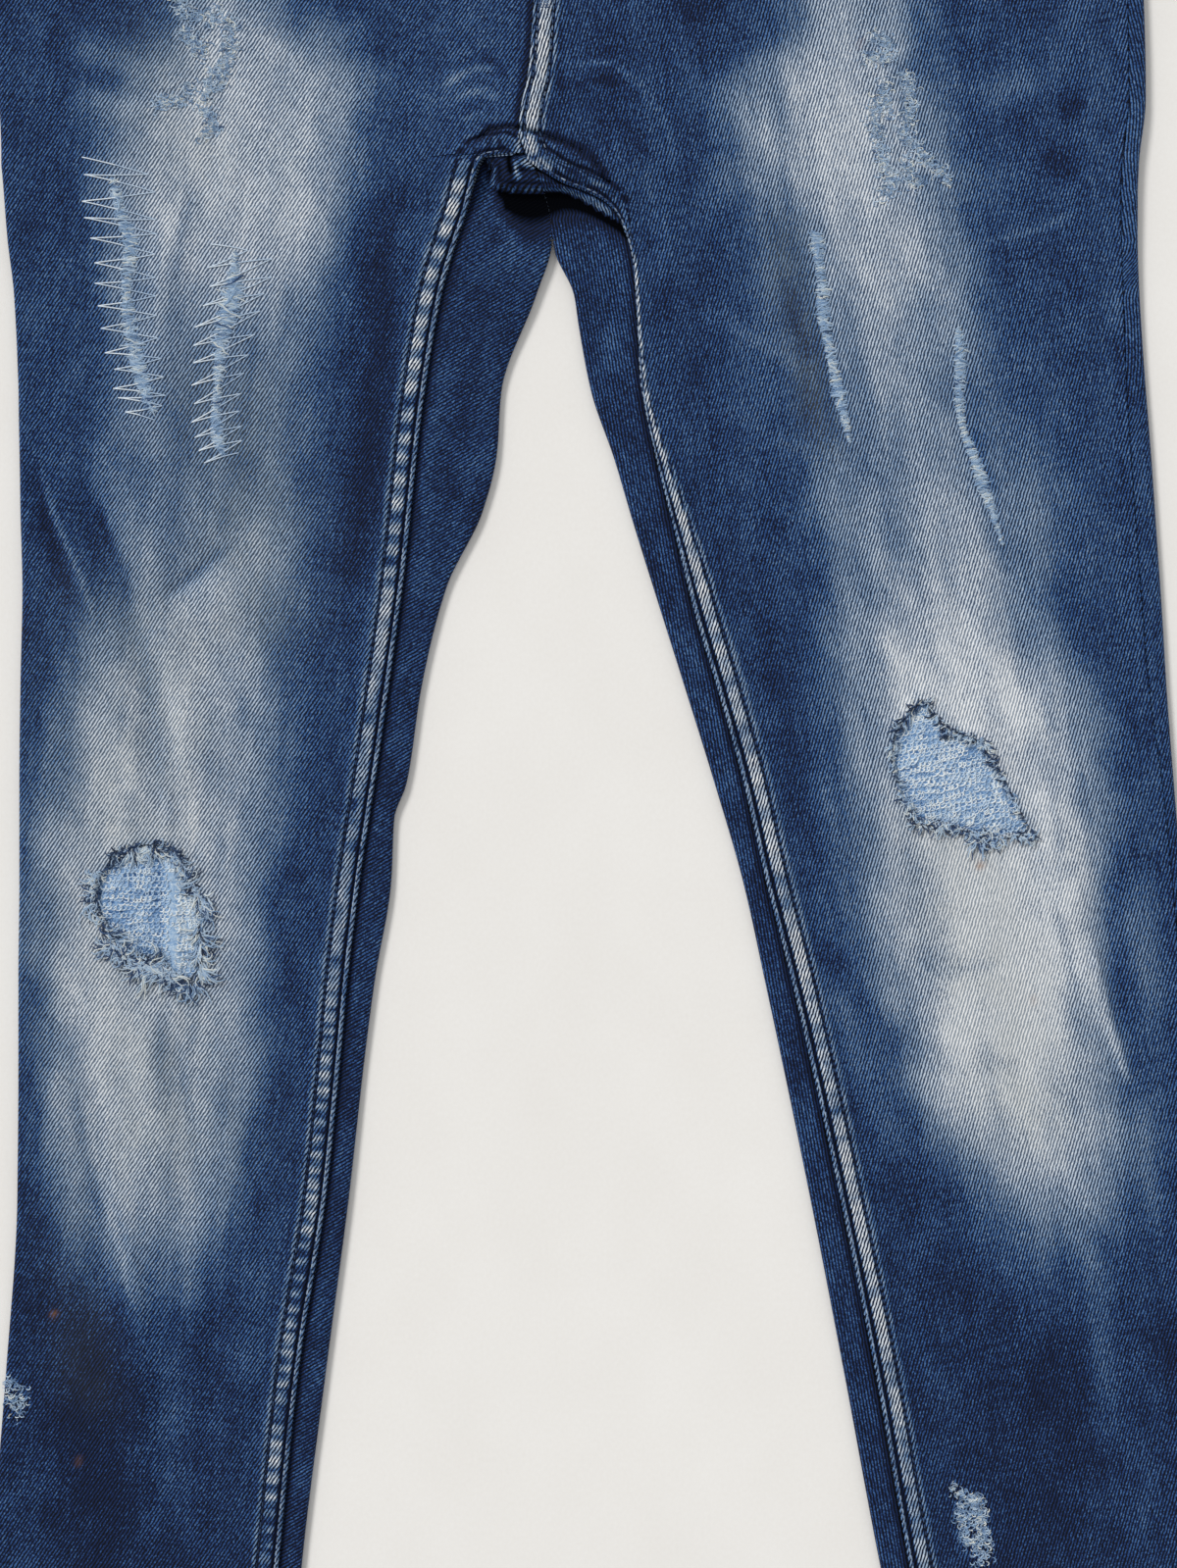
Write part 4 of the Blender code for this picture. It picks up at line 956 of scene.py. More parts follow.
denim = dict(
    twillPitch=1.55,  # real lines lie 1.35 mm apart, drawn wider so that they show
    twillAngle=63.0,  # right hand twill, steep for a stretch denim
    bump=0.0004,
    layers=dict(
        slub=dict(size=(1.6, 30), amount=0.12, detail=3),
        wefts=dict(size=(26, 2.0), amount=0.07),
        cloud=dict(size=(15, 26), turn=8, amount=0.1, detail=2),
        speck=dict(size=(1.7, 2.4), turn=27, amount=0.16, detail=3),
        grain=dict(size=(0.9, 1.0), amount=0.36),
    ),
    breaks=dict(size=(1.4, 3.6), turn=27, amount=0.7, detail=3),
    groundRamp=((0.0, "#02040c"), (0.16, "#060f29"), (0.3, "#16253f"), (0.48, "#293c55"), (0.72, "#505f75"),
                (1.0, "#a0a9b4")),  # the dark between the lines, from unworn to bleached
    crestRamp=((0.0, "#112650"), (0.07, "#24447c"), (0.16, "#3f6aa0"), (0.3, "#7391b5"), (0.48, "#a0b5ce"),
               (0.72, "#d5dfea"), (1.0, "#fbfcfc")),  # the lines themselves
)


def denimMaterial():
    # Indigo denim, stone washed: blue warp over pale weft. Slanting twill lines choose between the dark
    # ground and the pale crests, and both grow paler with wear. The deep attribute darkens it as painted
    # shade, and at its highest paints a near black shadow.
    made, tree, shader = newMaterial("washed indigo twill denim", 0.88, sheen=0.05)
    weave = addNode(tree, "UVMap", uv_map="weave")
    worn = {}
    for name in ("fade", "cream", "deep", "inside", "dirt", "brown"):
        worn[name] = addNode(tree, "Attribute", attribute_name=name).outputs["Fac"]
    slant = math.radians(90 - denim["twillAngle"])
    lines = addNode(tree, "Mapping", {"Vector": weave, "Rotation": (0, 0, slant)})
    bands = 2 * math.pi / (20 * denim["twillPitch"] * mm)  # the node draws 20 bands in 2 pi at scale 1
    twill = addNode(tree, "TexWave", {"Vector": lines, "Scale": bands, "Distortion": 2.0, "Detail": 2.0,
                                      "Detail Scale": 1.6},
                    wave_type="BANDS", bands_direction="X").outputs["Fac"]
    broken, _ = layered(tree, weave, twill, dict(breaks=denim["breaks"]))
    crest = addNode(tree, "MapRange", {"Value": broken, "From Min": 0.39, "From Max": 0.65},
                    interpolation_type="SMOOTHSTEP")

    paler = addNode(tree, "Math", (worn["inside"], 0.25, worn["fade"]), operation="MULTIPLY_ADD")
    # deep lowers the tone: painted shade, and in grooves also blue that wear left
    sunk = addNode(tree, "Math", (worn["deep"], -0.3, paler), operation="MULTIPLY_ADD")
    tone, noises = layered(tree, weave, sunk, denim["layers"])
    groundTone = addNode(tree, "Math", (worn["cream"], 0.2, tone), operation="MULTIPLY_ADD")
    crestTone = addNode(tree, "Math", (worn["cream"], 0.8, tone), operation="MULTIPLY_ADD")
    ground = addNode(tree, "ValToRGB", (groundTone,), stops=denim["groundRamp"])
    top = addNode(tree, "ValToRGB", (crestTone,), stops=denim["crestRamp"])
    dyed = addNode(tree, "Mix", {0: crest, 6: ground, 7: top}, data_type="RGBA")

    stain = addNode(tree, "Math", (worn["dirt"], noises["cloud"]), operation="MULTIPLY")
    soiled = addNode(tree, "Mix", {0: stain, 6: dyed, 7: linear("#6d7163")}, data_type="RGBA")
    spotted = addNode(tree, "Mix", {0: worn["brown"], 6: soiled, 7: linear("#9a6a3c")}, data_type="RGBA")
    # Past 0.8 deep paints near black with no reflection: the painted shadow in the cave under the tab.
    paintedShadow = addNode(tree, "MapRange", {"Value": worn["deep"], "From Min": 0.8, "From Max": 1.6})
    colour = addNode(tree, "Mix", {0: paintedShadow, 6: spotted, 7: linear("#020307")}, data_type="RGBA")
    tree.links.new(colour.outputs[2], shader.inputs["Base Color"])
    gloss = addNode(tree, "MapRange", {"Value": paintedShadow, "To Min": 0.22, "To Max": 0.0})
    tree.links.new(gloss.outputs["Result"], shader.inputs["Specular IOR Level"])

    height = addNode(tree, "Math", (noises["slub"], 0.6, crest), operation="MULTIPLY_ADD")
    bump = addNode(tree, "Bump", {"Height": height, "Strength": 0.6, "Distance": denim["bump"]})
    tree.links.new(bump.outputs["Normal"], shader.inputs["Normal"])
    return made


def spunMaterial(name, roughness, sheen, layers, depth, stops, flat=False):
    # Cotton by its own tone: threads and yarns take their noise from the object, flat cloth from its weave.
    made, tree, shader = newMaterial(name, roughness, sheen=sheen)
    if flat:
        where = addNode(tree, "UVMap", uv_map="weave")
    else:
        where = addNode(tree, "TexCoord").outputs["Object"]
    own = addNode(tree, "Attribute", attribute_name="tone").outputs["Fac"]
    tone, _ = layered(tree, where, own, layers)
    coat(tree, shader, tone, stops, 0.6, depth)
    return made


def tapeMaterial():
    # Zip tape: close navy twill polyester, a little shinier than the denim.
    made, tree, shader = newMaterial("navy polyester zip tape", 0.7)
    where = addNode(tree, "TexCoord").outputs["Object"]
    twill = addNode(tree, "TexWave", {"Vector": where, "Scale": 260.0, "Distortion": 2.0}, wave_type="BANDS",
                    bands_direction="DIAGONAL")
    tone, _ = layered(tree, where, twill.outputs["Fac"], dict(fuzz=dict(size=(0.7, 2.2), amount=0.5)))
    coat(tree, shader, tone, ((0.2, "#0b0e17"), (0.8, "#232b3d")), 0.4, 0.0002)
    return made


def metalMaterial():
    # Die-cast zinc, brushed and aged: grey brown in darker and paler patches, rougher where it is worn.
    made, tree, shader = newMaterial("aged cast zinc", 0.42, metallic=1.0)
    where = addNode(tree, "TexCoord").outputs["Object"]
    layers = dict(worn=dict(size=(2, 2), amount=0.35, detail=4), fine=dict(size=(0.4, 0.4), amount=0.2))
    tone, _ = layered(tree, where, 0.5, layers)
    coat(tree, shader, tone, ((0.25, "#5d5850"), (0.75, "#a59d90")), 0.3, 0.0002)
    rough = addNode(tree, "MapRange", {"Value": tone, "To Min": 0.28, "To Max": 0.58})
    tree.links.new(rough.outputs["Result"], shader.inputs["Roughness"])
    return made


finishes = dict(
    denim=denimMaterial(),
    tape=tapeMaterial(),
    metal=metalMaterial(),
    # spun polyester core with a cotton wrap, rubbed pale
    stitch=spunMaterial("faded blue topstitch thread", 0.8, 0.1, dict(
        twist=dict(size=(0.9, 0.9), amount=0.3)), 0.0002, (
        (0.0, "#15223d"), (0.5, "#4c6890"), (1.0, "#a9bbd0"))),
    # mercerised cotton, bluer where the wash has stained it
    darning=spunMaterial("pale blue darning thread", 0.75, 0.15, dict(
        twist=dict(size=(1.1, 1.1), amount=0.3)), 0.0002, (
        (0.0, "#7f9dc0"), (0.6, "#bccfe3"), (1.0, "#e9f1f7"))),
    # navy warp ends, pale blue and cream weft ends
    yarn=spunMaterial("frayed cotton yarn", 0.9, 0.2, dict(
        fuzz=dict(size=(0.7, 0.7), amount=0.14)), 0.0002, (
        (0.0, "#121c30"), (0.3, "#34507a"), (0.55, "#7d9cbe"), (0.78, "#adc3d8"), (1.0, "#dfe2dd"))),
    # a crinkled weave whose crests catch the light, darker between its ribs
    kneeCloth=spunMaterial("light blue crinkled cotton", 0.92, 0.15, dict(
        warp=dict(size=(1.2, 3.0), amount=0.3), weft=dict(size=(3.4, 1.1), amount=0.3),
        crinkle=dict(size=(2.4, 2.0), amount=0.4, curl=2.2)), 0.0006, (
        (0.0, "#24406c"), (0.3, "#4f75a4"), (0.55, "#83a6cc"), (0.8, "#b2cae1"), (1.0, "#dde7ee")),
        flat=True),
    # the same cotton as loose curled yarns
    kneeYarn=spunMaterial("light blue crinkled yarn", 0.92, 0.15, dict(
        fuzz=dict(size=(0.8, 0.8), amount=0.2), cloud=dict(size=(7, 9), amount=0.14)), 0.0002, (
        (0.0, "#2c4a74"), (0.3, "#6387b2"), (0.55, "#9ebbd9"), (0.8, "#c8d9e8"), (1.0, "#ebf0f1"))),
)
print("materials made")


def place(piece, slotName, *nodes):
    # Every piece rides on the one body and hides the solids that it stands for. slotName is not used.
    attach(piece, "root")
    if nodes:
        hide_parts(*nodes)
    return piece


def denimPiece(name, node, parts, tones, **shell):
    # A shell of denim from its runs of columns. Where tones leaves out a kind of wear or painted shade,
    # there is none of it.
    tones = {key: tones.get(key, 0.0) for key in ("fade", "cream", "deep", "dirt", "brown")}
    grid = np.stack(joinParts(parts), -1)
    return place(clothShell(name, grid, finishes["denim"], tones, **shell), "denim", node)


def joinParts(parts):
    # Runs of columns side by side, as x, y and z of one grid.
    return [np.concatenate([part[k] for part in parts], axis=1) for k in range(3)]


def meet(rows, edgeOf):
    # x where each row crosses an edge: a few fixed point steps on the sloped row.
    x = edgeOf(rows["y"])
    for _ in range(6):
        x = edgeOf(rows["y"] + rows["slope"] * (x - rows["x"]))
    return x


def rowLevel(rows, x):
    # y on each sloping row at x.
    return rows["y"][:, None] + rows["slope"][:, None] * (x - rows["x"][:, None])


def legRows(side, levels):
    # Rows across a leg, turning square to it lower down.
    data = halves[side]["data"]
    middle = (column(data, "fold", levels) + column(data, "outer", levels)) / 2
    turn = halves[side]["tilt"] * np.clip((cut["tiltFrom"] - levels) / (cut["tiltFrom"] - cut["hem"]), 0, 1)
    return dict(x=middle, y=levels, slope=turn * (levels < 0))


def levelRows(levels):
    # Rows without a slope.
    return dict(x=0 * levels, y=levels, slope=0 * levels)


def joinRows(*parts):
    # One run of rows after another.
    return {key: np.concatenate([part[key] for part in parts]) for key in parts[0]}


def slopedRows(xSide, ySide, xCentre, yCentre):
    # Straight rows from their side ends to their centre ends.
    return dict(x=xSide, y=ySide, slope=(yCentre - ySide) / (xCentre - xSide))


panelGrid = dict(legStep=2.6, seatStep=2.8, fineStep=1.0, mouthRows=26, cells=78, arc=8)
# Close columns beside a felled edge, so that its grooves are sharp.
bandSteps = np.array([0, 0.5, 1.1, 1.8, 2.5, 3.1, 3.7, 4.6, 5.8, 7.0, 8.2, 9.3, 10.1, 10.7, 11.4, 12.3,
                      13.4, 14.6, 16.2])


def frontLevels():
    # Levels of the leg's rows, and of the seat's up to the pocket mouth: closest at the crotch.
    leg = np.linspace(cut["hem"], -2, round((-2 - cut["hem"]) / panelGrid["legStep"]))
    fine = np.arange(0, 58, panelGrid["fineStep"])
    seat = np.arange(58, cut["waist"] - cut["mouthDepth"], panelGrid["seatStep"])
    return leg, np.concatenate([fine, seat])


def mouthRows(side):
    # Rows of the pocket mouth: the side end follows a quarter ellipse from the side seam to the waistband.
    half = halves[side]
    foot = cut["waist"] - cut["mouthDepth"]
    angle = np.radians(np.linspace(87, 0, panelGrid["mouthRows"]))
    share = 1 - np.sin(angle)
    ySide = foot + share * cut["mouthDepth"]
    yCentre = foot + share * (cut["waist"] - cut["frontDip"] - foot)
    xSide, xCentre = column(half["data"], half["seam"], ySide), column(centreLine, "front", yCentre)
    return slopedRows(xSide, ySide, xCentre, yCentre), cut["mouthWidth"] * np.cos(angle)


def spread(start, end, cells):
    # Even cells across each row.
    return start[:, None] + (end - start)[:, None] * np.linspace(0, 1, cells + 1)


def spreadFrom(start, end, cells, stretch):
    # Across each row: the close steps beside its start, stretched as asked, then even cells to its end.
    stretch = np.minimum(stretch, np.abs(end - start) / (bandSteps[-1] * 1.6))
    near = start[:, None] + np.sign(end - start)[:, None] * bandSteps * stretch[:, None]
    return np.concatenate([near, spread(near[:, -1], end, cells)[:, 1:]], axis=1)


def arcPoints(x, low, high, way):
    # Half an ellipse round a rolled edge, from one face to the other; x is the centre of the roll.
    angle = np.linspace(0, math.pi, panelGrid["arc"] + 1)[1:]
    px = x[:, None] + way * cut["edge"] * np.sin(angle)
    pz = ((high + low) / 2)[:, None] + ((high - low) / 2)[:, None] * np.cos(angle)
    return px, pz


def rollUnder(rows, x, low, high):
    # Round the right side's edge and a little way under it.
    ax, az = arcPoints(x, low, high, -1)
    ux = ax[:, -1:] + cut["underlap"] * np.array([0.5, 1.0])
    return [(ax, rowLevel(rows, ax), az), (ux, rowLevel(rows, ux), np.repeat(az[:, -1:], 2, 1))]


def rollUp(rows, x, high=None, dip=0.0):
    # Round the left side's edge from below and on to the side seam on top, where the cloth may dip.
    y = rowLevel(rows, x[:, None])[:, 0]
    ax, az = arcPoints(x, topside(x, y), underside(y) if high is None else high, 1)
    seamX = meet(rows, lambda y: column(leftLeg, "outseam", y)) + cut["gap"]
    wx = spread(x, seamX, backGrid["wrap"])[:, 1:]
    wy = rowLevel(rows, wx)
    return [(ax, rowLevel(rows, ax), az), (wx, wy, topside(wx, wy) - dip * bell(wx - seamX[:, None], 1.5))]


def edgeLean(edge, y):
    # How much longer a step across the row is than a step square to the edge, up to 3 times, evened out by
    # the mean of 7 rows.
    lean = np.minimum(np.hypot(1, np.gradient(edge, y)), 3.0)
    return np.convolve(np.pad(lean, 3, mode="edge"), np.ones(7) / 7, mode="valid")


def frontWear(x, y, side, pale, dark):
    # A front's wear, its bands' paleness and darkness, painted shade, and a dark line round each tear.
    fade, shade, dirt, brown = wearOf(x, y, side)
    away = np.minimum(np.abs(tearDistance(x, y, "right")), np.abs(tearDistance(x, y, "left")))
    dark = np.maximum(np.maximum(dark, shade), 0.7 * bell(away, 2.2))
    return dict(fade=fade, cream=pale, deep=dark, dirt=dirt, brown=brown)


def openTear(x, y, side):
    # Leaves out the cells inside a tear and slides the corners left on its rim to the outline.
    mx, my = tearEdges[side]["middle"]
    cellX, cellY = (x[:-1, :-1] + x[1:, 1:]) / 2, (y[:-1, :-1] + y[1:, 1:]) / 2
    inside = (tearDistance(cellX, cellY, side) < 0) & (np.hypot(cellX - mx, cellY - my) < 70)
    touched, other = np.zeros(x.shape, bool), np.zeros(x.shape, bool)
    rows, columns = x.shape
    for dr in (0, 1):
        for dc in (0, 1):
            touched[dr:rows - 1 + dr, dc:columns - 1 + dc] |= inside
            other[dr:rows - 1 + dr, dc:columns - 1 + dc] |= ~inside
    rim = touched & other
    angle = np.arctan2(y - my, x - mx)
    reach = tearReach(side, angle)
    x = np.where(rim, mx + reach * np.cos(angle), x)
    y = np.where(rim, my + reach * np.sin(angle), y)
    return x, y, ~inside


def frontPanel(side):
    # One front: rows across leg and hip from the felled edge. The right one rolls under at its side.
    half = halves[side]
    isRight = side == "right"
    leg, seat = frontLevels()
    mouth, inward = mouthRows(side)
    rows = joinRows(legRows(side, leg), levelRows(seat), mouth)
    bodyRows = len(leg) + len(seat)

    def innerOf(y):
        # The felled edge, and from the arch's top up the straight centre seam.
        felled, straight = column(half["data"], "edge", y), column(centreLine, "front", y)
        return np.where(y > half["archTop"], straight, felled) + (-1 if isRight else 1) * cut["gap"] / 2

    inner = meet(rows, innerOf)
    outer = meet(rows, lambda y: column(half["data"], half["seam"], y))
    inset = np.concatenate([np.zeros(bodyRows), inward])
    end = outer + np.maximum(cut["edge"], inset) if isRight else outer - cut["gap"] / 2 - inset
    lean = edgeLean(inner, rows["y"])
    if isRight:  # above the arch the close steps reach as far as they do below it
        last = np.flatnonzero(rows["y"] <= half["archTop"])[-1]
        reach = lean[last] + (inner - inner[last]) / bandSteps[-1]
        above = rows["y"] - half["archTop"]
        lean = np.where(above > 0, lean + (reach - lean) * smooth(1 - above / 26), lean)
    x = spreadFrom(inner, end, panelGrid["cells"], lean)
    x, y, keep = openTear(x, rowLevel(rows, x), side)
    z = frontHeight(x, y, side)
    if not isRight:
        away = np.abs(x - column(leftLeg, "outseam", y))
        rope = np.sin(2 * math.pi * y / 12 + 1.5 * softNoise(y, 0 * y, 25, 61))
        z = z + smooth((153 - y) / 6) * (0.5 * bell(away, 5) * (1 + 0.5 * rope) - 0.5 * bell(away - 7, 1.0))
    tones = frontWear(x, y, side, *frontTone(x, y, side)[1:])
    up = aboveHem(x, y, side)
    hemRope = between(up, 0.3, 13, 1.5) * (0.5 + 0.5 * np.sin(2 * math.pi * (x + 0.8 * up) / 8.5))
    tones["cream"] = np.maximum(tones["cream"], 0.5 * hemRope)
    mouthEdge = np.zeros(x.shape)
    mouthEdge[bodyRows:] = bell(np.abs(x[bodyRows:] - end[bodyRows:, None]), 4)
    tones["cream"] = np.maximum(tones["cream"], 0.4 * mouthEdge * (inset[:, None] > 0))
    parts = [(x, y, z)]
    if isRight:
        parts += rollUnder(rows, outer + cut["edge"], underside(y[:, -1]), z[:, -1])
        more = panelGrid["arc"] + 2
        keep = np.pad(keep, ((0, 0), (0, more)), constant_values=True)
        keep[bodyRows - 1:, -more:] = False
        tones = {key: np.pad(values, ((0, 0), (0, more)), mode="edge") for key, values in tones.items()}
    denimPiece("front_panel_" + side, "front_" + side, parts, tones, keep=keep, turn=-7 if isRight else 10)


for side in ("right", "left"):
    frontPanel(side)
print("fronts made")


# The edge of the thick tab that hangs below the crossing of the seams.
tabEdge = ((-42, 50), (-34, 40), (-29.5, 34), (-29, 25.5), (-21, 23.6), (6, 23.5), (12, 21), (22, 15.5),
           (31, 10), (42, 4))


def flapHeight(x, y, e):
    # The back's strip on top: lower than the felled edge, sunk beside it, and under the crotch's tab.
    plain = topside(x, y) - crotchHump(x, y) - cut["flapDrop"]
    gap, _, side, _ = nearLine(x, y, tabEdge)
    above = np.where(side < 0, gap, -gap)
    tab = smooth((above + 0.4) / 2.4)
    grooves = bell(above - 3.6, 0.9) + bell(above - 9.5, 0.9)
    ribs = 0.35 * np.sin(2 * math.pi * (x + 0.4 * y) / 6.5) * tab - 0.5 * tab * grooves
    sunk = 1.7 * smooth(1 - np.maximum(-above, 0) / 22) * (1 - tab) * smooth((y + 16) / 16)
    return plain + tab * (0.9 * crotchHump(x, y) + 0.9) + ribs - sunk - 0.8 * bell(e, 1.6)


# Streaks on the strip: the third a painted highlight on the lobe by the tab, the fourth painted shadow below.
flapMarks = (
    mark(4, 0.07, (-26, 18), (-20, 0), (-17, -18)),
    mark(6, 0.1, (27, -40), (31, -70)),
    mark(3, 0.1, (12, 24), (22, 18), (31, 12), blunt=0.5),
    mark(4, -0.07, (6, 14), (20, 8), (34, 2), blunt=0.5),
)


def flapTones(x, y, e):
    # The strip's tones: painted shade beside its felled edge, a painted shadow darkest in the cave under
    # the tab, painted shade on the tab and in its seams, and its lip and crests rubbed pale.
    gap, _, side, _ = nearLine(x, y, tabEdge)
    below = np.where(side < 0, 0, gap)
    inside = smooth((y + 22) / 10)
    deepness = 7 + 20 * bell(x + 10, 17)
    leftEnd = smooth((x + 33 - 0.39 * (38 - y)) / 4 + 0.5)
    cave = smooth(1.33 * (1 - below / deepness)) * (side > 0) * inside * leftEnd
    fade = 0.07 + 0.03 * softNoise(x, y, 16, 51) + 0.025 * softNoise(x, y * 0.3, 6, 52)
    for laid in flapMarks:
        fade = fade + laid["strength"] * stroke(x, y, laid)
    lip = 0.3 * bell(gap - 1.0, 0.8) * (side < 0) * (y > 8)
    blots = strongest(x, y, creamBlots)
    onTab = (side < 0) * inside
    grooves = bell(gap - 3.6, 1.0) + bell(gap - 9.5, 1.1) + bell(x + 20.6, 0.9) + bell(x + 15.4, 0.8)
    seams = onTab * grooves * smooth((9 - x) / 5)
    tabShade = onTab * (0.1 + 0.35 * smooth((9 - x) / 8))
    # painted shade by the felled edge, painted shadow in the cave, painted shade on the tab and its seams
    deep = 0.9 * bell(e, 2.0) + 1.9 * cave + tabShade + 0.9 * seams * (1 - blots)
    return dict(fade=fade, cream=np.clip(blots + lip, 0, 1), deep=np.clip(deep, 0, 1.9), dirt=0 * x,
                brown=0 * x)


def backWear(x, y):
    # The back's own wear: paler over the seat and the calves, with creases behind the knees.
    fade = 0.12 + 0.04 * softNoise(x, y * 0.5, 40, 53)
    for cx, cy, wide, high, amount in ((-130, 70, 75, 95, 0.2), (140, 70, 75, 95, 0.2),
                                       (-180, -420, 40, 190, 0.14), (215, -420, 40, 190, 0.14)):
        fade = fade + amount * np.exp(-((x - cx) / wide) ** 2 - ((y - cy) / high) ** 2)
    for k in range(3):
        for way in (-1, 1):
            crease = mark(5, 0.07, (way * 30 + 20, -246 - 22 * k), (way * 90 + 18, -252 - 20 * k),
                          (way * 150 + 18, -244 - 24 * k))
            fade = fade + crease["strength"] * stroke(x, y, crease)
    return dict(fade=fade, cream=0 * x, deep=0 * x, dirt=0.15 * smooth((-600 - y) / 120), brown=0 * x)


def underHeight(x, y):
    # The side that rests: flat on the floor at the legs, lifted at the seat, and very slightly uneven.
    hem = between(y, cut["hem"] - 60, cut["hem"] + 13, 1.2)
    return underside(y) + 0.35 * np.abs(softNoise(x, y * 0.5, 30, 54)) * (1 - hem)


def seatRows(share, side, foot=(0.0, 0.0), head=(cut["yokeSide"], cut["yokeCentre"])):
    # Rows of the seat, sloping from the side to the centre back; foot and head are the levels at those two.
    ySide = foot[0] + share * (head[0] - foot[0])
    yCentre = foot[1] + share * (head[1] - foot[1])
    xSide, xCentre = column(halves[side]["data"], "outer", ySide), column(centreLine, "back", yCentre)
    return slopedRows(xSide, ySide, xCentre, yCentre)


backGrid = dict(legStep=3.2, crotchRows=46, flap=12, under=25, wrap=4, flapTop=dict(right=40.2, left=36.0))


def grainAcross(x, z, startAt, way):
    # Distance across the cloth, measured along each row and started from the sewn edge.
    step = np.hypot(np.diff(x, axis=1), np.diff(z, axis=1))
    run = np.concatenate([np.zeros((len(x), 1)), np.cumsum(step, axis=1)], axis=1)
    return startAt[:, None] + way * run


def backPanel(side):
    # One back: its strip on top from the felled edge, round the inner roll, under the leg and seat, and on
    # the left side round the outer roll up to the side seam.
    isRight = side == "right"
    data, way = halves[side]["data"], 1 if isRight else -1
    levels = np.linspace(cut["hem"], 0, round(-cut["hem"] / backGrid["legStep"]))
    share = np.linspace(0, 1, backGrid["crotchRows"] + 1)[1:]
    over = joinRows(legRows(side, levels), levelRows(backGrid["flapTop"][side] * share))
    below = joinRows(legRows(side, levels), seatRows(share, side))

    edge = meet(over, lambda y: column(data, "edge", y)) + way * cut["gap"] / 2
    fold = meet(over, lambda y: column(data, "fold", y)) - way * cut["edge"]
    isLeg = np.arange(len(edge)) < len(levels)
    seat = ~isLeg
    flatEnd = np.where(isLeg, fold, column(seatSeam, "x", over["y"]) - way * cut["gap"] / 2)
    fx = edge[:, None] + (flatEnd - edge)[:, None] * np.linspace(0, 1, backGrid["flap"] + 1) ** 1.4
    fy = rowLevel(over, fx)
    fz = flapHeight(fx, fy, np.abs(fx - edge[:, None]))
    ax, az = arcPoints(flatEnd, underside(fy[:, -1]), fz[:, -1], way)
    ay = rowLevel(over, ax)

    centre = meet(below, lambda y: column(centreLine, "back", y)) - way * cut["gap"] / 2
    outer = meet(below, lambda y: column(data, "outer", y))
    end = outer + cut["edge"] + cut["underlap"] + cut["gap"] if isRight else outer - cut["edge"]
    ux = spread(np.where(isLeg, fold, centre), end, backGrid["under"])
    uy = rowLevel(below, ux)
    uz = underHeight(ux, uy)
    uz[:, 0] = np.where(isLeg, az[:, -1], uz[:, 0])
    ax[seat, -1], ay[seat, -1], az[seat, -1] = centre[seat], uy[seat, 0], uz[seat, 0]
    parts = [(fx, fy, fz), (ax, ay, az), (ux[:, 1:], uy[:, 1:], uz[:, 1:])]
    if not isRight:
        parts += rollUp(below, end, dip=0.5)
    x, y, z = joinParts(parts)

    rollStart = backGrid["flap"]
    rollEnd = rollStart + panelGrid["arc"]
    keep = np.ones((x.shape[0] - 1, x.shape[1] - 1), bool)
    keep[len(levels) - 1:, rollStart:rollEnd] = False
    columns = np.arange(x.shape[1])
    turned = smooth((columns - rollStart - panelGrid["arc"] / 2) / panelGrid["arc"])
    under = np.where(isLeg[:, None], turned, columns > rollStart + 1)
    onTop, beneath = flapTones(x, y, np.abs(x - edge[:, None])), backWear(x, y)
    tones = {key: onTop[key] * (1 - under) + beneath[key] * under for key in onTop}
    across = grainAcross(x, z, edge, way)
    held = across[:, rollEnd] + x[:, rollEnd]  # the seat's weave runs on from the leg's
    across[seat, rollEnd:] += (held[len(levels) - 1] - held[seat])[:, None]
    denimPiece("back_panel_" + side, "back_" + side, parts, tones, keep=keep, judge=6,
               uv=np.stack([across, y], -1), turn=-33 if isRight else 37)


for side in ("right", "left"):
    backPanel(side)
print("backs made")


kneePatch = dict(
    # dark: how much darker the rib troughs are painted than their crests, as painted shade and highlight
    right=dict(size=(96, 118), rib=4.2, lean=0.03, seed=71, dark=0.42),
    left=dict(size=(100, 112), rib=3.8, lean=0.18, seed=75, dark=0.26),
    columns=56, rows=66, hem=6, loop=2.5, curl=0.86, points=14, step=0.34, radius=0.34, rowsPerRib=2.4,
    foldX=-186,  # the right patch's upright fold
)


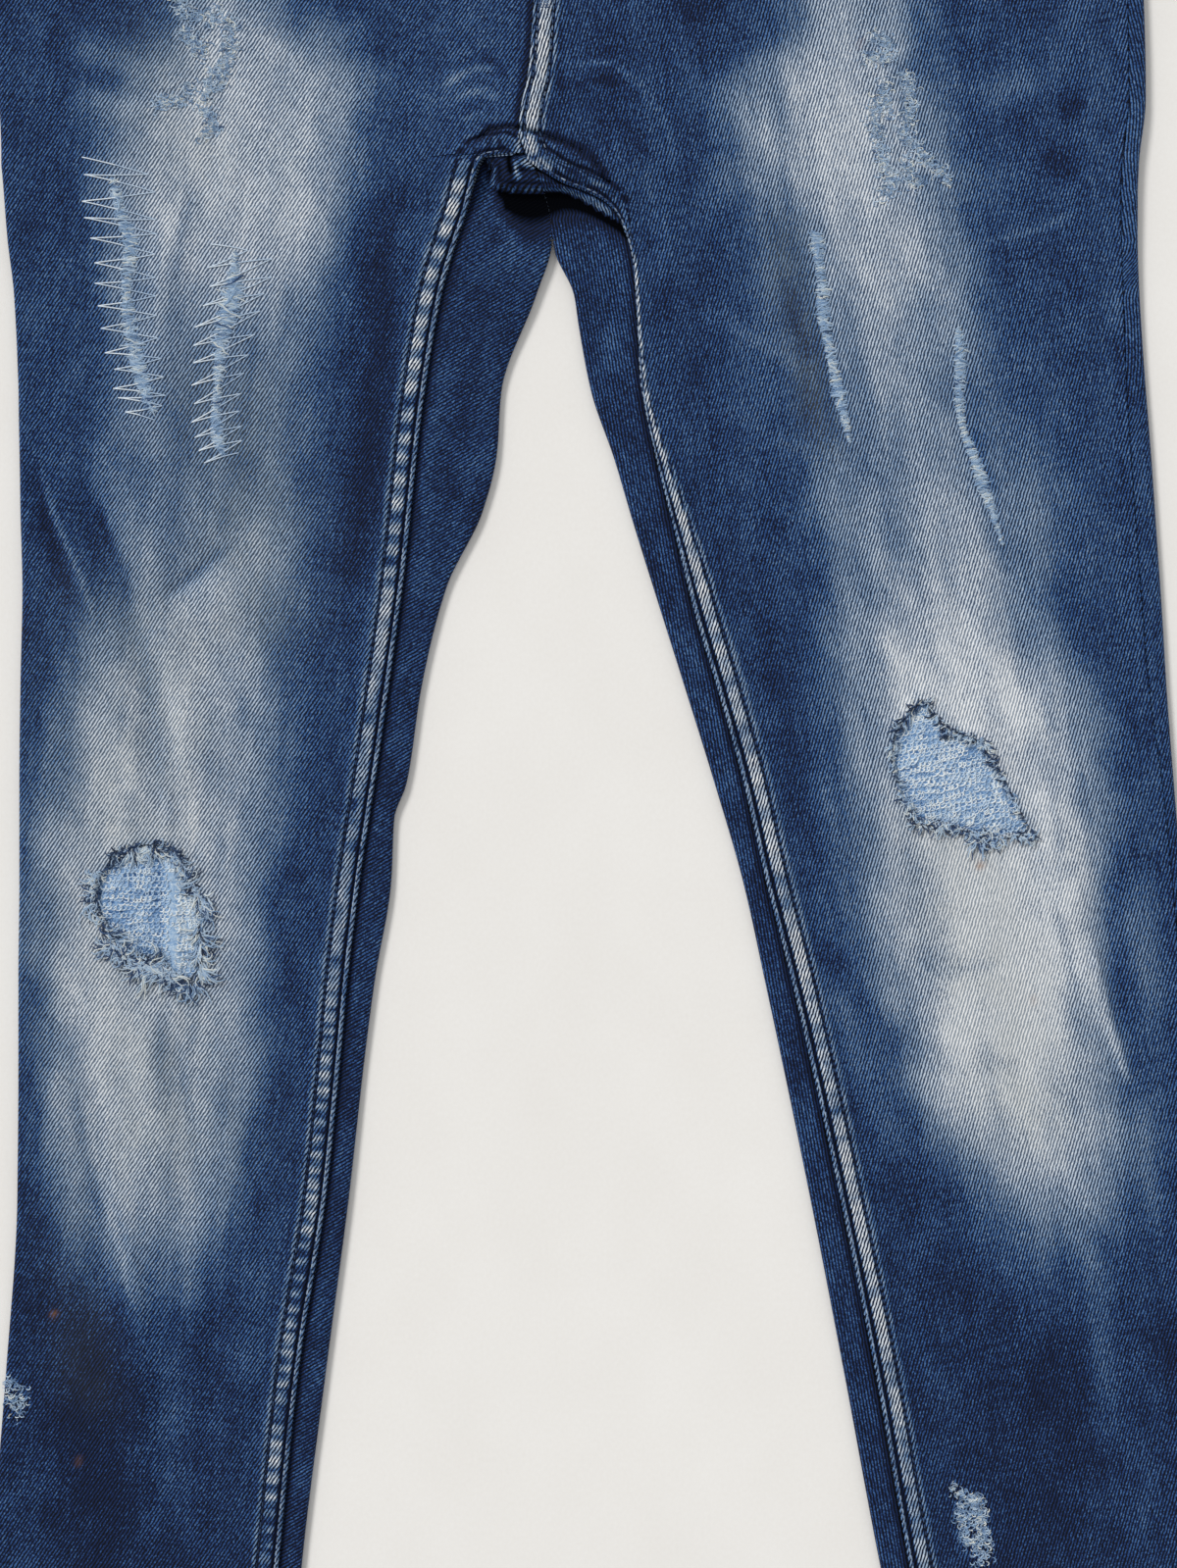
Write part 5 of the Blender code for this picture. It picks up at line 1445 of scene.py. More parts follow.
def kneeSurface(x, y, side):
    # Height and tone of the crinkled cloth behind a tear: ribs across it that wander and break, and on the
    # right knee one upright fold. Its tone paints light and shade: highlight on the ribs' crests, shade in
    # their troughs, a highlight on the fold's crest, shade in the trough left of it, a paler strip right of
    # it, and shade under the tear's edge.
    patch = kneePatch[side]
    away = tearDistance(x, y, side)
    wander = 1.1 * softNoise(x, y, 13, patch["seed"]) + 0.5 * softNoise(x, y, 5, patch["seed"] + 1)
    phase = (y - patch["lean"] * (x - tearEdges[side]["middle"][0]) + wander) / patch["rib"]
    ribs = np.abs(np.sin(math.pi * phase)) ** 0.6
    crinkle = softNoise(x * 1.6, y, 2.6, patch["seed"] + 2)
    z = topside(x, y) - 1.9 + 1.5 * smooth((2 - away) / 16) + (0.4 * ribs + 0.25 * crinkle - 0.4)
    # painted highlight on the rib crests and painted shade in their troughs
    tone = 0.53 + patch["dark"] * (ribs - 0.8) + 0.1 * crinkle
    if side == "right":
        fromFold = x - kneePatch["foldX"]
        fold = bell(fromFold, 4.2)
        z = z + 1.0 * fold - 0.5 * bell(fromFold + 6.5, 2.2) - 0.5 * bell(fromFold - 6, 2)
        # the fold's crest painted as a highlight and the trough left of it as shade
        tone = tone * (1 - 0.8 * fold) + 0.68 * fold
        tone = tone - 0.25 * bell(fromFold + 6.5, 1.8) + 0.3 * bell(fromFold - 9, 4)
    return z, tone - 0.3 * smooth((away + 3.5) / 4)


def kneePatchPiece(side):
    # The cloth itself, a flat sheet behind the tear.
    (mx, my), (width, height) = tearEdges[side]["middle"], kneePatch[side]["size"]
    x, y = np.meshgrid(np.linspace(mx - width / 2, mx + width / 2, kneePatch["columns"]),
                       np.linspace(my - height / 2, my + height / 2, kneePatch["rows"]))
    z, tone = kneeSurface(x, y, side)
    grid = np.stack([x, y, z], -1)
    piece = clothShell("knee_patch_cloth_" + side, grid, finishes["kneeCloth"], dict(tone=tone - 0.06))
    place(piece, "knee_cloth", "knee_patch_" + side)


def kneeLoopsPiece(side):
    # Crinkled yarns of the cloth: each row runs in curls, a circle of uneven size carried along it.
    patch = kneePatch[side]
    rng = np.random.default_rng(patch["seed"] + 5)
    (mx, my), (width, height) = tearEdges[side]["middle"], patch["size"]
    points, step, hem = kneePatch["points"], kneePatch["step"], kneePatch["hem"]
    levels = np.arange(my - height / 2 + hem, my + height / 2 - hem, patch["rib"] / kneePatch["rowsPerRib"])
    starts = np.arange(mx - width / 2 + hem, mx + width / 2 - hem, (points - 2) * step)
    startX, level = (part.ravel() for part in np.meshgrid(starts, levels))
    along = startX[:, None] + step * np.arange(points)
    row = level[:, None] + patch["lean"] * (along - mx)
    size = kneePatch["curl"] * (1 + 0.6 * softNoise(along, row * 3, 3.1, patch["seed"] + 7))
    turn = 2 * math.pi * along / kneePatch["loop"] + 2.6 * softNoise(along, row * 5, 4, patch["seed"] + 8)
    turn = turn + rng.uniform(0, 6, len(levels)).repeat(len(starts))[:, None]
    stray = rng.normal(0, 0.22, len(level))[:, None]
    x = along + size * np.cos(turn)
    y = row + size * np.sin(turn) + stray - 1.1 * softNoise(x, row, 13, patch["seed"])
    z, tone = kneeSurface(x, y, side)
    z = z + 0.12 + 0.24 * np.sin(turn + 0.9)
    kept = tearDistance(x, y, side).min(axis=1) < 1.5
    if side == "right":  # the fold's crest is smooth
        kept &= (np.abs(x.mean(axis=1) - kneePatch["foldX"]) > 3.6) | (rng.uniform(0, 1, len(level)) < 0.15)
    thick = kneePatch["radius"] * rng.uniform(0.7, 1.25, len(level))[:, None] * np.ones(points)
    # the curls take the painted rib shade and highlight of the cloth under them, made paler
    tone = np.clip(tone.mean(axis=1) + rng.normal(0.32, 0.16, len(level)), 0, 1)
    threads("knee_crinkle_" + side, "knee_cloth", "kneeYarn", (x[kept], y[kept], z[kept]), thick[kept],
            tone[kept], 4)


# Round each tear: from and to which angle in degrees, how many tufts, which way they lie, how far that
# wanders, their length, the share that is navy, and how far outside the edge they start.
fringe = dict(
    points=7, radius=0.36, perTuft=7,
    right=dict(seed=81, zones=(
        (55, 128, 26, -92, 30, 7, 0.66, 0.8),
        (60, 125, 12, -88, 22, 9.5, 0.08, -0.4),
        (128, 196, 15, 225, 60, 6, 0.3, -0.4),
        (150, 160, 2, 205, 12, 11, 0.1, -1),
        (174, 180, 2, 186, 12, 11, 0.1, -1),
        (196, 262, 34, -72, 46, 9, 0.4, 1.6),
        (205, 262, 16, -50, 40, 7, 0.3, 5.0),
        (258, 300, 20, 262, 40, 14, 0.16, 1.0),
        (262, 304, 12, -80, 50, 11, 0.36, 3.6),
        (300, 338, 12, -70, 34, 11, 0.2, 0.0),
        (-22, 20, 9, 262, 30, 8, 0.12, -1.0),
        (20, 52, 11, 270, 26, 9, 0.3, -0.6),
        (-4, 16, 5, 290, 60, 7, 0.3, 1.0),
    )),
    left=dict(seed=82, zones=(
        (95, 140, 20, -100, 70, 5, 0.6, 0.0),
        (140, 216, 20, 250, 70, 3.8, 0.2, -0.6),
        (216, 322, 46, 272, 60, 5.6, 0.46, 1.2),
        (286, 300, 9, 276, 32, 8, 0.4, 3.0),
        (-38, 30, 13, 230, 60, 3.6, 0.4, -0.4),
        (30, 95, 16, 250, 70, 4.2, 0.42, 0.2),
    )),
)


def fringePiece(side):
    # Tufts of yarn pulled out round the tear. Each yarn starts under the rim and walks ahead in equal steps
    # while its heading turns steadily and wobbles; it lies over the rim outside the tear and low over the
    # patch inside.
    rng = np.random.default_rng(fringe[side]["seed"])
    each = fringe["perTuft"]
    yarns = []
    for low, high, tufts, way, wander, length, navy, out in fringe[side]["zones"]:
        around = np.radians(rng.uniform(low, high, tufts))
        heading = np.radians(way + wander * rng.normal(0, 0.6, tufts))
        tuftLength = length * rng.uniform(0.6, 1.25, tufts)
        yarns.append((
            np.repeat(around, each) + rng.normal(0, 0.035, tufts * each),
            np.repeat(heading, each) + rng.normal(0, 0.3, tufts * each),
            np.repeat(tuftLength, each) * rng.uniform(0.6, 1.1, tufts * each),
            rng.uniform(0, 1, tufts * each) < navy,
            out + rng.normal(0, 0.7, tufts * each),
        ))
    angle, way, length, navy, out = (np.concatenate(part) for part in zip(*yarns))
    count, points = len(angle), fringe["points"]
    mx, my = tearEdges[side]["middle"]
    reach = tearReach(side, angle) + out
    t = np.linspace(0, 1, points)
    bend = np.repeat(rng.normal(0, 1.5, count // each), each) + rng.normal(0, 0.6, count)
    swing = rng.uniform(0.1, 0.6, count)[:, None]
    wobble = swing * np.sin(rng.uniform(5, 10, count)[:, None] * t + rng.uniform(0, 6, (count, 1)))
    heading = way[:, None] + bend[:, None] * t + wobble
    step = length[:, None] / (points - 1)
    x = (mx + reach * np.cos(angle))[:, None] + np.cumsum(step * np.cos(heading), axis=1)
    y = (my + reach * np.sin(angle))[:, None] + np.cumsum(step * np.sin(heading), axis=1)
    outside = smooth((tearDistance(x, y, side) + 0.8) / 1.8)
    top = topside(x, y)
    lift = rng.uniform(0.1, 1.1, count)[:, None] * np.sin(math.pi * t * rng.uniform(0.6, 1.0, (count, 1)))
    z = (top - 0.5) * (1 - outside) + (top + 1.15) * outside + lift
    thick = rng.uniform(0.75, 1.3, count)[:, None] * fringe["radius"] * (1 - 0.5 * t**2)
    tone = np.where(navy, rng.uniform(0.02, 0.32, count), np.clip(rng.normal(0.78, 0.13, count), 0.4, 1))
    threads("knee_fringe_" + side, "frayed_yarn", "yarn", (x, y, z), thick, tone, 4)


for side in ("right", "left"):
    kneePatchPiece(side)
    kneeLoopsPiece(side)
    fringePiece(side)
print("knees made")


# The four slits: x, y and width along each.
slashes = (
    dict(name="slash_right_outer", side="right", seed=91, line=(
        (-214.4, 29.5, 3.4), (-211.7, 14, 5), (-208.4, 6.3, 6.4), (-206.2, -0.3, 6.6), (-206.7, -9, 6),
        (-208.4, -18, 5), (-208.4, -27, 3.4), (-207.8, -36, 5.4), (-206.2, -44, 6.8), (-205, -52, 7.4),
        (-203, -60, 7), (-201.8, -66, 6.4), (-199.6, -73, 6), (-197.4, -80, 5), (-195, -84, 3))),
    dict(name="slash_right_inner", side="right", seed=92, line=(
        (-155, -5, 1.2), (-155.5, -16, 5), (-156, -24.5, 8.3), (-157.7, -31, 8.6), (-160.4, -40, 8),
        (-162.6, -49, 7.6), (-163.2, -60, 4.4), (-163.7, -71, 3), (-164.8, -82, 4), (-164.3, -91, 4.6),
        (-163.7, -98, 5.4), (-161, -105, 2))),
    dict(name="slash_left_inner", side="left", seed=93, line=(
        (129.5, 3, 4), (129.7, 0, 6.4), (130.6, -10, 3.6), (132.3, -21, 4), (132.8, -35, 5.4),
        (134, -43, 4.6), (135.6, -51, 3.6), (137.2, -58.5, 4), (139, -67, 4.6), (140.5, -75, 5.2),
        (142.2, -82, 4), (144.4, -90.5, 2.8), (145.8, -99, 1.2))),
    dict(name="slash_left_outer", side="left", seed=94, line=(
        (199, -43, 2), (200, -54, 4.8), (200, -65, 4.2), (199.5, -76, 4.2), (200, -84, 3.4),
        (201.7, -93, 2.8), (204.4, -100, 3.4), (207.7, -108, 4.4), (210.5, -117, 5.2), (212.7, -125, 4),
        (215.5, -132, 3), (218, -140, 2), (221, -149, 0.8))),
)


def slashPiece(slash):
    # Bare wefts in a slit: short crinkled yarns side by side, each lying across the slit in a low arch, with
    # a few longer ones sprung loose.
    rng = np.random.default_rng(slash["seed"])
    line, _ = resample(slash["line"], 0.62)
    count = len(line) * 2
    pick = np.repeat(np.arange(len(line)), 2)
    centre = line[pick, :2] + rng.normal(0, 0.25, (count, 2))
    width = line[pick, 2] * rng.uniform(0.85, 1.45, count)
    loose = rng.uniform(0, 1, count) < 0.16
    angle = (rng.normal(0.05, 0.22, count) + loose * rng.normal(0, 0.7, count))[:, None]
    t = np.linspace(-0.5, 0.5, 6)
    along = t * width[:, None] * (1 + 0.35 * loose[:, None])
    swing = rng.uniform(0.15, 0.55, count)[:, None]
    wave = swing * np.sin(t * rng.uniform(6, 16, count)[:, None] + rng.uniform(0, 6, count)[:, None])
    x = centre[:, :1] + along * np.cos(angle) - wave * np.sin(angle)
    y = centre[:, 1:] + along * np.sin(angle) + wave
    arch = (0.15 + rng.uniform(0.1, 0.75, count)[:, None]) * (1 - (2 * t) ** 2) + 0.2 * loose[:, None]
    z = frontHeight(x, y, slash["side"]) + arch - 0.12
    thick = rng.uniform(0.26, 0.5, count)[:, None] * (1 - 0.5 * np.abs(2 * t) ** 3)
    tone = np.clip(rng.normal(0.74, 0.14, count) - 0.28 * (rng.uniform(0, 1, count) < 0.12), 0.2, 1)
    threads(slash["name"], "frayed_yarn", "yarn", (x, y, z), thick, tone, 4)


# The tips of the two zigzags, on the left and on the right of each slit.
zigzags = (
    dict(name="darning_right_outer", left=(
        (-230, 40.5), (-229, 32), (-230, 19), (-229, 11), (-226, 1), (-224, -11), (-224, -21),
        (-222.5, -32), (-221, -43), (-219, -55), (-214.4, -63), (-215, -72.5), (-212.6, -77),
        (-209, -84)), right=(
        (-197.4, 32), (-194, 23.4), (-194, 10), (-193.5, 3), (-194, -7), (-194, -18.5), (-194, -27.5),
        (-193.5, -37), (-193, -48), (-191, -58), (-190, -67), (-189, -76), (-191, -81), (-194.6, -88))),
    dict(name="darning_right_inner", left=(
        (-167, -2), (-169, -13.5), (-167.6, -22.6), (-171, -32), (-175, -42.5), (-175.7, -51.5),
        (-175.7, -60), (-176.6, -71), (-175.3, -80), (-176.6, -89), (-175, -96.5), (-173, -103),
        (-170.4, -109)), right=(
        (-149, -5), (-137, -9), (-137.3, -18), (-141, -26), (-143, -34.5), (-145.6, -46), (-149, -56),
        (-151, -65), (-152.4, -75), (-153.3, -83.5), (-152.4, -91), (-152, -98), (-153.6, -104))),
)


def darningPiece(stitching):
    # One thread zigzags between the tips: each leg lies taut on the cloth in a low arch and dives in at its
    # tips. It is palest from its left tips to the slit, and has taken up blue beyond it.
    rng = np.random.default_rng(99)
    tips = np.stack([stitching["left"], stitching["right"]], axis=1).reshape(-1, 2).astype(float)
    start, end = np.repeat(tips[:-1], 2, axis=0), np.repeat(tips[1:], 2, axis=0)
    count = len(start)
    half = np.arange(count) % 2
    t = half[:, None] * 0.5 + np.linspace(0, 0.5, 8)
    x, y = (start[:, k:k + 1] + (end - start)[:, k:k + 1] * t for k in (0, 1))
    way = np.where(np.arange(count) // 2 % 2 == 0, 1, -1)
    y = y + (0.4 * way * rng.uniform(0.4, 1.3, count))[:, None] * np.sin(math.pi * t)
    z = frontHeight(x, y, "right") + 0.5 * smooth(np.minimum(t, 1 - t) / 0.08) - 0.1
    blue = (half == 1) == (way == 1)
    tone = np.where(blue, rng.uniform(0.4, 0.75, count), rng.uniform(0.75, 1.0, count))
    thick = np.where(blue, 0.25, 0.3)[:, None] + 0 * t
    threads(stitching["name"], "darning", "darning", (x, y, z), thick, tone, 6)


def nubPiece(patch):
    # Where the surface is rubbed through, weft ends stand up as small crooked curls in broken rows.
    rng = np.random.default_rng(patch["seed"])
    spots = np.concatenate([resample(line, 1 / patch["density"])[0] for line in patch["lines"]])
    spots = np.repeat(spots, 3, axis=0)
    count = len(spots)
    spots = spots + rng.normal(0, 1.9, (count, 2))
    t = np.linspace(-1, 1, 5)
    size = rng.uniform(0.8, 2.0, count)
    bend = rng.uniform(0.6, 2.2, count)[:, None] * t
    turn = rng.uniform(0, 2 * math.pi, count)[:, None]
    x = spots[:, :1] + size[:, None] * np.sin(bend + turn)
    y = spots[:, 1:] + size[:, None] * np.cos(bend + turn) * 0.8
    z = frontHeight(x, y, patch["side"]) + 0.4 * (1 - t**2) * rng.uniform(0.3, 1.8, count)[:, None] - 0.1
    thick = rng.uniform(0.22, 0.38, count)[:, None] * (1 - 0.5 * t**2)
    tone = np.clip(rng.normal(0.66, 0.16, count) + 0.25 * (rng.uniform(0, 1, count) < 0.2), 0.2, 1)
    threads(patch["name"], "frayed_yarn", "yarn", (x, y, z), thick, tone, 3)


for slash in slashes:
    slashPiece(slash)
for stitching in zigzags:
    darningPiece(stitching)
for patch in nubs:
    nubPiece(patch)
print("slashes, darning and nubs made")


def seatParts(side, rows, cells):
    # The underside of seat rows, from centre back to side; the left one turns up to its side seam too.
    way = -1 if side == "right" else 1
    start = meet(rows, lambda y: column(centreLine, "back", y)) + way * cut["gap"] / 2
    outer = meet(rows, lambda y: column(halves[side]["data"], "outer", y))
    end = outer + cut["edge"] + cut["underlap"] + cut["gap"] if side == "right" else outer - cut["edge"]
    x = spread(start, end, cells)
    y = rowLevel(rows, x)
    z = underHeight(x, y)
    return [(x, y, z)] + (rollUp(rows, end, high=z[:, -1]) if side == "left" else [])


yoke = dict(rows=16, cells=70)


def yokePiece(side):
    # The yoke, felled onto the back along its lower edge, where a raised band carries the two stitch rows.
    foot = (cut["yokeSide"] + cut["gap"], cut["yokeCentre"] + cut["gap"])
    head = (cut["waist"], cut["waist"] + cut["backRise"])
    share = np.concatenate([np.linspace(0, 0.25, 9), np.linspace(0.25, 1, yoke["rows"])[1:]])
    parts = seatParts(side, seatRows(share, side, foot, head), yoke["cells"])
    x, y, _ = joinParts(parts)
    lift = share[:, None] * 45
    rope = 0.5 + 0.5 * np.sin(2 * math.pi * x / 9 + 2 * softNoise(x, 0 * x, 25, 55))
    tones = backWear(x, y)
    tones["cream"] = 0.32 * between(lift, 1.2, 8.6, 1.0) * rope
    # darker along the two stitch rows: painted shade of their grooves, and blue that wear left
    tones["deep"] = 0.6 * (bell(lift - 1.6, 0.7) + bell(lift - 8.6, 0.7))
    denimPiece("yoke_panel_" + side, "yoke_" + side, parts, tones, facesUp=False, judge=20,
               turn=8 if side == "right" else -8)


facing = dict(cells=18, judge=10, turn=dict(right=12, left=-12))


def facingPiece(side):
    # The cloth behind the pocket mouth, following the front from below.
    data, name = halves[side]["data"], halves[side]["seam"]
    rows, inward = mouthRows(side)
    first = dict(x=rows["x"][:1], y=np.array([cut["waist"] - cut["mouthDepth"] + cut["gap"]]),
                 slope=np.zeros(1))
    rows, inward = joinRows(first, rows), np.concatenate([[0.0], inward])
    outer = meet(rows, lambda y: column(data, name, y))
    if side == "left":
        end = outer - cut["gap"] / 2
        start = end - inward - cut["facingLap"]
    else:
        end = outer + cut["edge"]
        start = outer + inward + cut["facingLap"]
    x = spread(start, end, facing["cells"])
    y = rowLevel(rows, x)
    z = topside(x, y) - (cut["wall"] + cut["gap"])
    parts = [(x, y, z)]
    if side == "right":
        parts += rollUnder(rows, end, underside(rows["y"]), z[:, -1])
    x, y, _ = joinParts(parts)
    denimPiece("pocket_facing_cloth_" + side, "pocket_facing_" + side, parts,
               dict(fade=0.1 + 0.03 * softNoise(x, y, 20, 56)), judge=facing["judge"],
               turn=facing["turn"][side])


band = dict(rows=20, front=90, back=150, arc=10, ease=1.2, stitchInset=2.6, crest=0.35, clearance=0.3)


def bandLevel(x, back):
    # Lower edge of the waistband: it dips at the centre front and rises at the centre back.
    centreX = column(centreLine, "front", cut["waist"])
    sideX = np.where(x < centreX, column(rightLeg, "outer", cut["waist"]),
                     column(leftLeg, "outer", cut["waist"]))
    share = 1 - (x - centreX) / (sideX - centreX)
    return cut["waist"] + cut["gap"] + share * (cut["backRise"] if back else -cut["frontDip"])


def waistbandPiece():
    # One doubled band: right front, round the side, back, round the side, left front, lapped at the centre.
    rise = np.linspace(0, 1, band["rows"] + 1)
    rise = cut["bandWidth"] * (rise - 0.12 * np.sin(2 * math.pi * rise) / 2)
    radius = (cut["bandHeight"] - cut["seatLift"]) / 2
    middle = (cut["bandHeight"] + cut["seatLift"]) / 2
    right = column(rightLeg, "outer", cut["waist"] + rise) + radius
    left = column(leftLeg, "outer", cut["waist"] + rise) - radius
    centre = column(centreLine, "front", cut["waist"] + rise)
    side = (cut["waist"] + cut["gap"] + rise + band["ease"] * smooth(1 - rise / 8))[:, None]
    angle = np.linspace(0, math.pi, band["arc"] + 1)[1:-1]
    tall, flat = np.cos(angle), np.sin(angle)

    x1 = spread(centre + cut["lapUnder"], right, band["front"])
    y1 = bandLevel(x1, False) + rise[:, None]
    y1[:, -1:] = side
    z1 = np.full(x1.shape, cut["bandHeight"])
    x2 = right[:, None] - radius * flat
    x3 = spread(right, left, band["back"])
    y3 = bandLevel(x3, True) + rise[:, None]
    y3[:, :1] = y3[:, -1:] = side
    z3 = np.full(x3.shape, cut["seatLift"])
    x4 = left[:, None] + radius * flat[::-1]
    x5 = spread(left, centre - cut["lapOver"], band["front"])
    lapStart = (centre + cut["lapUnder"] + cut["lapClear"] + cut["lapRamp"])[:, None]
    y5 = bandLevel(x5, False) + rise[:, None]
    y5[:, :1] = side
    z5 = cut["bandHeight"] + (cut["bandWall"] + band["clearance"]) * smooth((lapStart - x5) / cut["lapRamp"])
    x = np.concatenate([x1, x2, x3, x4, x5], 1)
    y = np.concatenate([y1, side + 0 * x2, y3, side + 0 * x4, y5], 1)
    z2, z4 = middle + radius * tall + 0 * x2, middle + radius * tall[::-1] + 0 * x4
    z = np.concatenate([z1, z2, z3, z4, z5], 1)

    run = np.concatenate([[0], np.cumsum(np.hypot(np.diff(x[8]), np.diff(z[8])))])[None]
    inset = np.minimum(rise, cut["bandWidth"] - rise)[:, None] + 0 * run
    rope = np.sin(2 * math.pi * run / 8 + 2 * softNoise(run, 0 * run, 22, 57)) * smooth((8 - inset) / 6)
    sink = 0.45 * bell(inset - band["stitchInset"], 0.8) - 0.1 * rope
    normalX = np.gradient(z, axis=1)
    normalZ = -np.gradient(x, axis=1)
    size = np.maximum(np.hypot(normalX, normalZ), 1e-6)
    x, z = x - sink * normalX / size, z - sink * normalZ / size
    fade = 0.16 + 0.05 * softNoise(run + 0 * rise[:, None], rise[:, None] + 0 * run, 24, 58)
    cream = 0.3 * smooth((3 - inset) / 3) * (0.6 + 0.4 * rope) + band["crest"] * bell(inset, 0.8)
    # deep darkens the stitch grooves: painted shade, and blue that wear left
    tones = dict(fade=fade, cream=cream, deep=0.5 * bell(inset - band["stitchInset"], 0.8))
    uv = np.stack([run + 0 * x, rise[:, None] + 0 * x], -1)
    denimPiece("waistband_cloth", "waistband", [(x, y, z)], tones, wall=cut["bandWall"], judge=20, uv=uv,
               turn=90)


for side in ("right", "left"):
    yokePiece(side)
    facingPiece(side)
waistbandPiece()
print("yokes, facings and waistband made")


beltLoop = dict(width=11.0, tail=8.0, length=47.0, frontTop=8.9, rows=40, columns=12)
beltLoops = (
    dict(name="front_right", x=-92, back=False, riders="loop_topstitch_front"),
    dict(name="front_left", x=112, back=False, riders=""),
    dict(name="back_right", x=-150, back=True, riders="loop_topstitch_back"),
    dict(name="back_centre", x=6, back=True, riders=""),
    dict(name="back_left", x=162, back=True, riders=""),
)


def unitGrid(columns, rows):
    # From -1 to 1 across and from 0 to 1 up.
    return np.meshgrid(np.linspace(-1, 1, columns + 1), np.linspace(0, 1, rows + 1))


def beltLoopPiece(loop):
    # A folded strip: its long edges are rolled, its middle a little hollow between two stitch rows.
    u, v = unitGrid(beltLoop["columns"], beltLoop["rows"])
    x = loop["x"] + u * beltLoop["width"] / 2
    y = bandLevel(loop["x"], loop["back"]) - beltLoop["tail"] + v * beltLoop["length"]
    stitched, ends = bell(np.abs(u) - 0.62, 0.12), bell(v, 0.03) + bell(v - 1, 0.03)
    relief = 0.35 * np.abs(u) ** 6 + 0.2 * stitched
    z = 0.02 + relief + 0.25 * ends if loop["back"] else beltLoop["frontTop"] - relief - 0.25 * ends
    rope = 0.5 + 0.5 * np.sin(2 * math.pi * y / 7 + loop["x"])
    cream = 0.5 * smooth((np.abs(u) - 0.75) * 5) * rope + 0.3 * bell(v, 0.03)
    # deep darkens the stitch grooves: painted shade, and blue that wear left
    denimPiece("belt_loop_strip_" + loop["name"], "belt_loop_" + loop["name"], [(x, y, z)],
               dict(fade=0.16, cream=cream, deep=0.5 * stitched), facesUp=not loop["back"],
               wall=cut["wall"] - 0.05)


pocket = dict(width=145.0, footWidth=128.0, top=157.0, foot=28.0, point=10.0, hem=24.0, cells=38, rows=38)
backPockets = (dict(side="right", x=-130), dict(side="left", x=138))


def pocketFoot(u):
    # The foot rises in straight lines from its point.
    return pocket["point"] + (pocket["foot"] - pocket["point"]) * np.abs(u)


def pocketHalf(y):
    # Half the pocket's width, which grows evenly to its top.
    share = np.clip((y - pocket["foot"]) / (pocket["top"] - pocket["foot"]), 0, 1)
    return (pocket["footWidth"] + (pocket["width"] - pocket["footWidth"]) * share) / 2


def backPocketPiece(side, middle):
    # A patch pocket with a pointed foot and a turned hem, sewn round with two rows; its face looks down.
    u, v = unitGrid(pocket["cells"], pocket["rows"])
    foot = pocketFoot(u)
    y = foot + (pocket["top"] - foot) * v
    x = middle + u * pocketHalf(y)
    edge = np.minimum((1 - np.abs(u)) * pocketHalf(y), (y - foot) * 0.96)
    hem = pocket["top"] - y
    hemRow = bell(hem - pocket["hem"] + 2, 0.9)
    grooves = np.clip(bell(edge - 2.4, 0.8) + bell(edge - 8.4, 0.8) + hemRow, 0, 1)
    rope = 0.5 + 0.5 * np.sin(2 * math.pi * (x + y) / 9 + 2 * softNoise(x, y, 22, 59))
    z = 0.02 + 0.25 * grooves + 0.12 * np.abs(softNoise(x, y, 26, 60)) * smooth((edge - 8) / 10)
    worn = bell(np.hypot((x - middle) / 50, (y - 90) / 60), 1)
    fade = 0.2 + 0.16 * worn + 0.04 * softNoise(x, y * 0.5, 20, 61)
    cream = 0.45 * smooth((3 - edge) / 3) * (0.4 + 0.6 * rope) + 0.4 * bell(hem, 2)
    cream = cream + 0.2 * bell(edge - 5.4, 2) * rope
    # deep darkens the stitch grooves: painted shade, and blue that wear left
    denimPiece("back_pocket_patch_" + side, "back_pocket_" + side, [(x, y, z)],
               dict(fade=fade, cream=cream, deep=0.5 * grooves), facesUp=False, wall=cut["wall"] - 0.05)


zipFly = dict(width=26.0, low=72.0, high=212.0, drop=1.9, rows=50, columns=12, pitch=1.3, tooth=2.1,
              toothRadius=0.34)


def zipTapePiece():
    # Two tapes side by side behind the fly, with a thick cord along the meeting edges.
    v, u = np.meshgrid(np.linspace(zipFly["low"], zipFly["high"], zipFly["rows"] + 1),
                       np.linspace(1, -1, zipFly["columns"] + 1), indexing="ij")
    x = column(centreLine, "front", v) + u * zipFly["width"] / 2
    z = topside(x, v) - zipFly["drop"] + 0.2 * bell(u, 0.16) - 0.2
    piece = clothShell("zip_tape", np.stack([x, v, z], -1), finishes["tape"], dict(tone=0.5))
    place(piece, "zip_tape", "zip")


def zipTeethPiece():
    # Meshed teeth: short bars set by turns to either side of the middle.
    levels = np.arange(zipFly["low"] + 3, zipFly["high"] - 3, zipFly["pitch"])
    middle = column(centreLine, "front", levels) + 0.5 * np.where(np.arange(len(levels)) % 2, 1, -1)
    t = np.linspace(-1, 1, 4)
    x = middle[:, None] + zipFly["tooth"] * t
    y = levels[:, None] + 0 * x
    z = topside(x, y) - zipFly["drop"] + 0.3
    radius = zipFly["toothRadius"] * np.array([0.7, 1, 1, 0.7]) + 0 * x
    threads("zip_teeth", "button_metal", "metal", (x, y, z), radius, 0.5 + 0 * levels, 6)


zipSlider = dict(level=205.0, width=7.0, length=9.5, height=0.5)


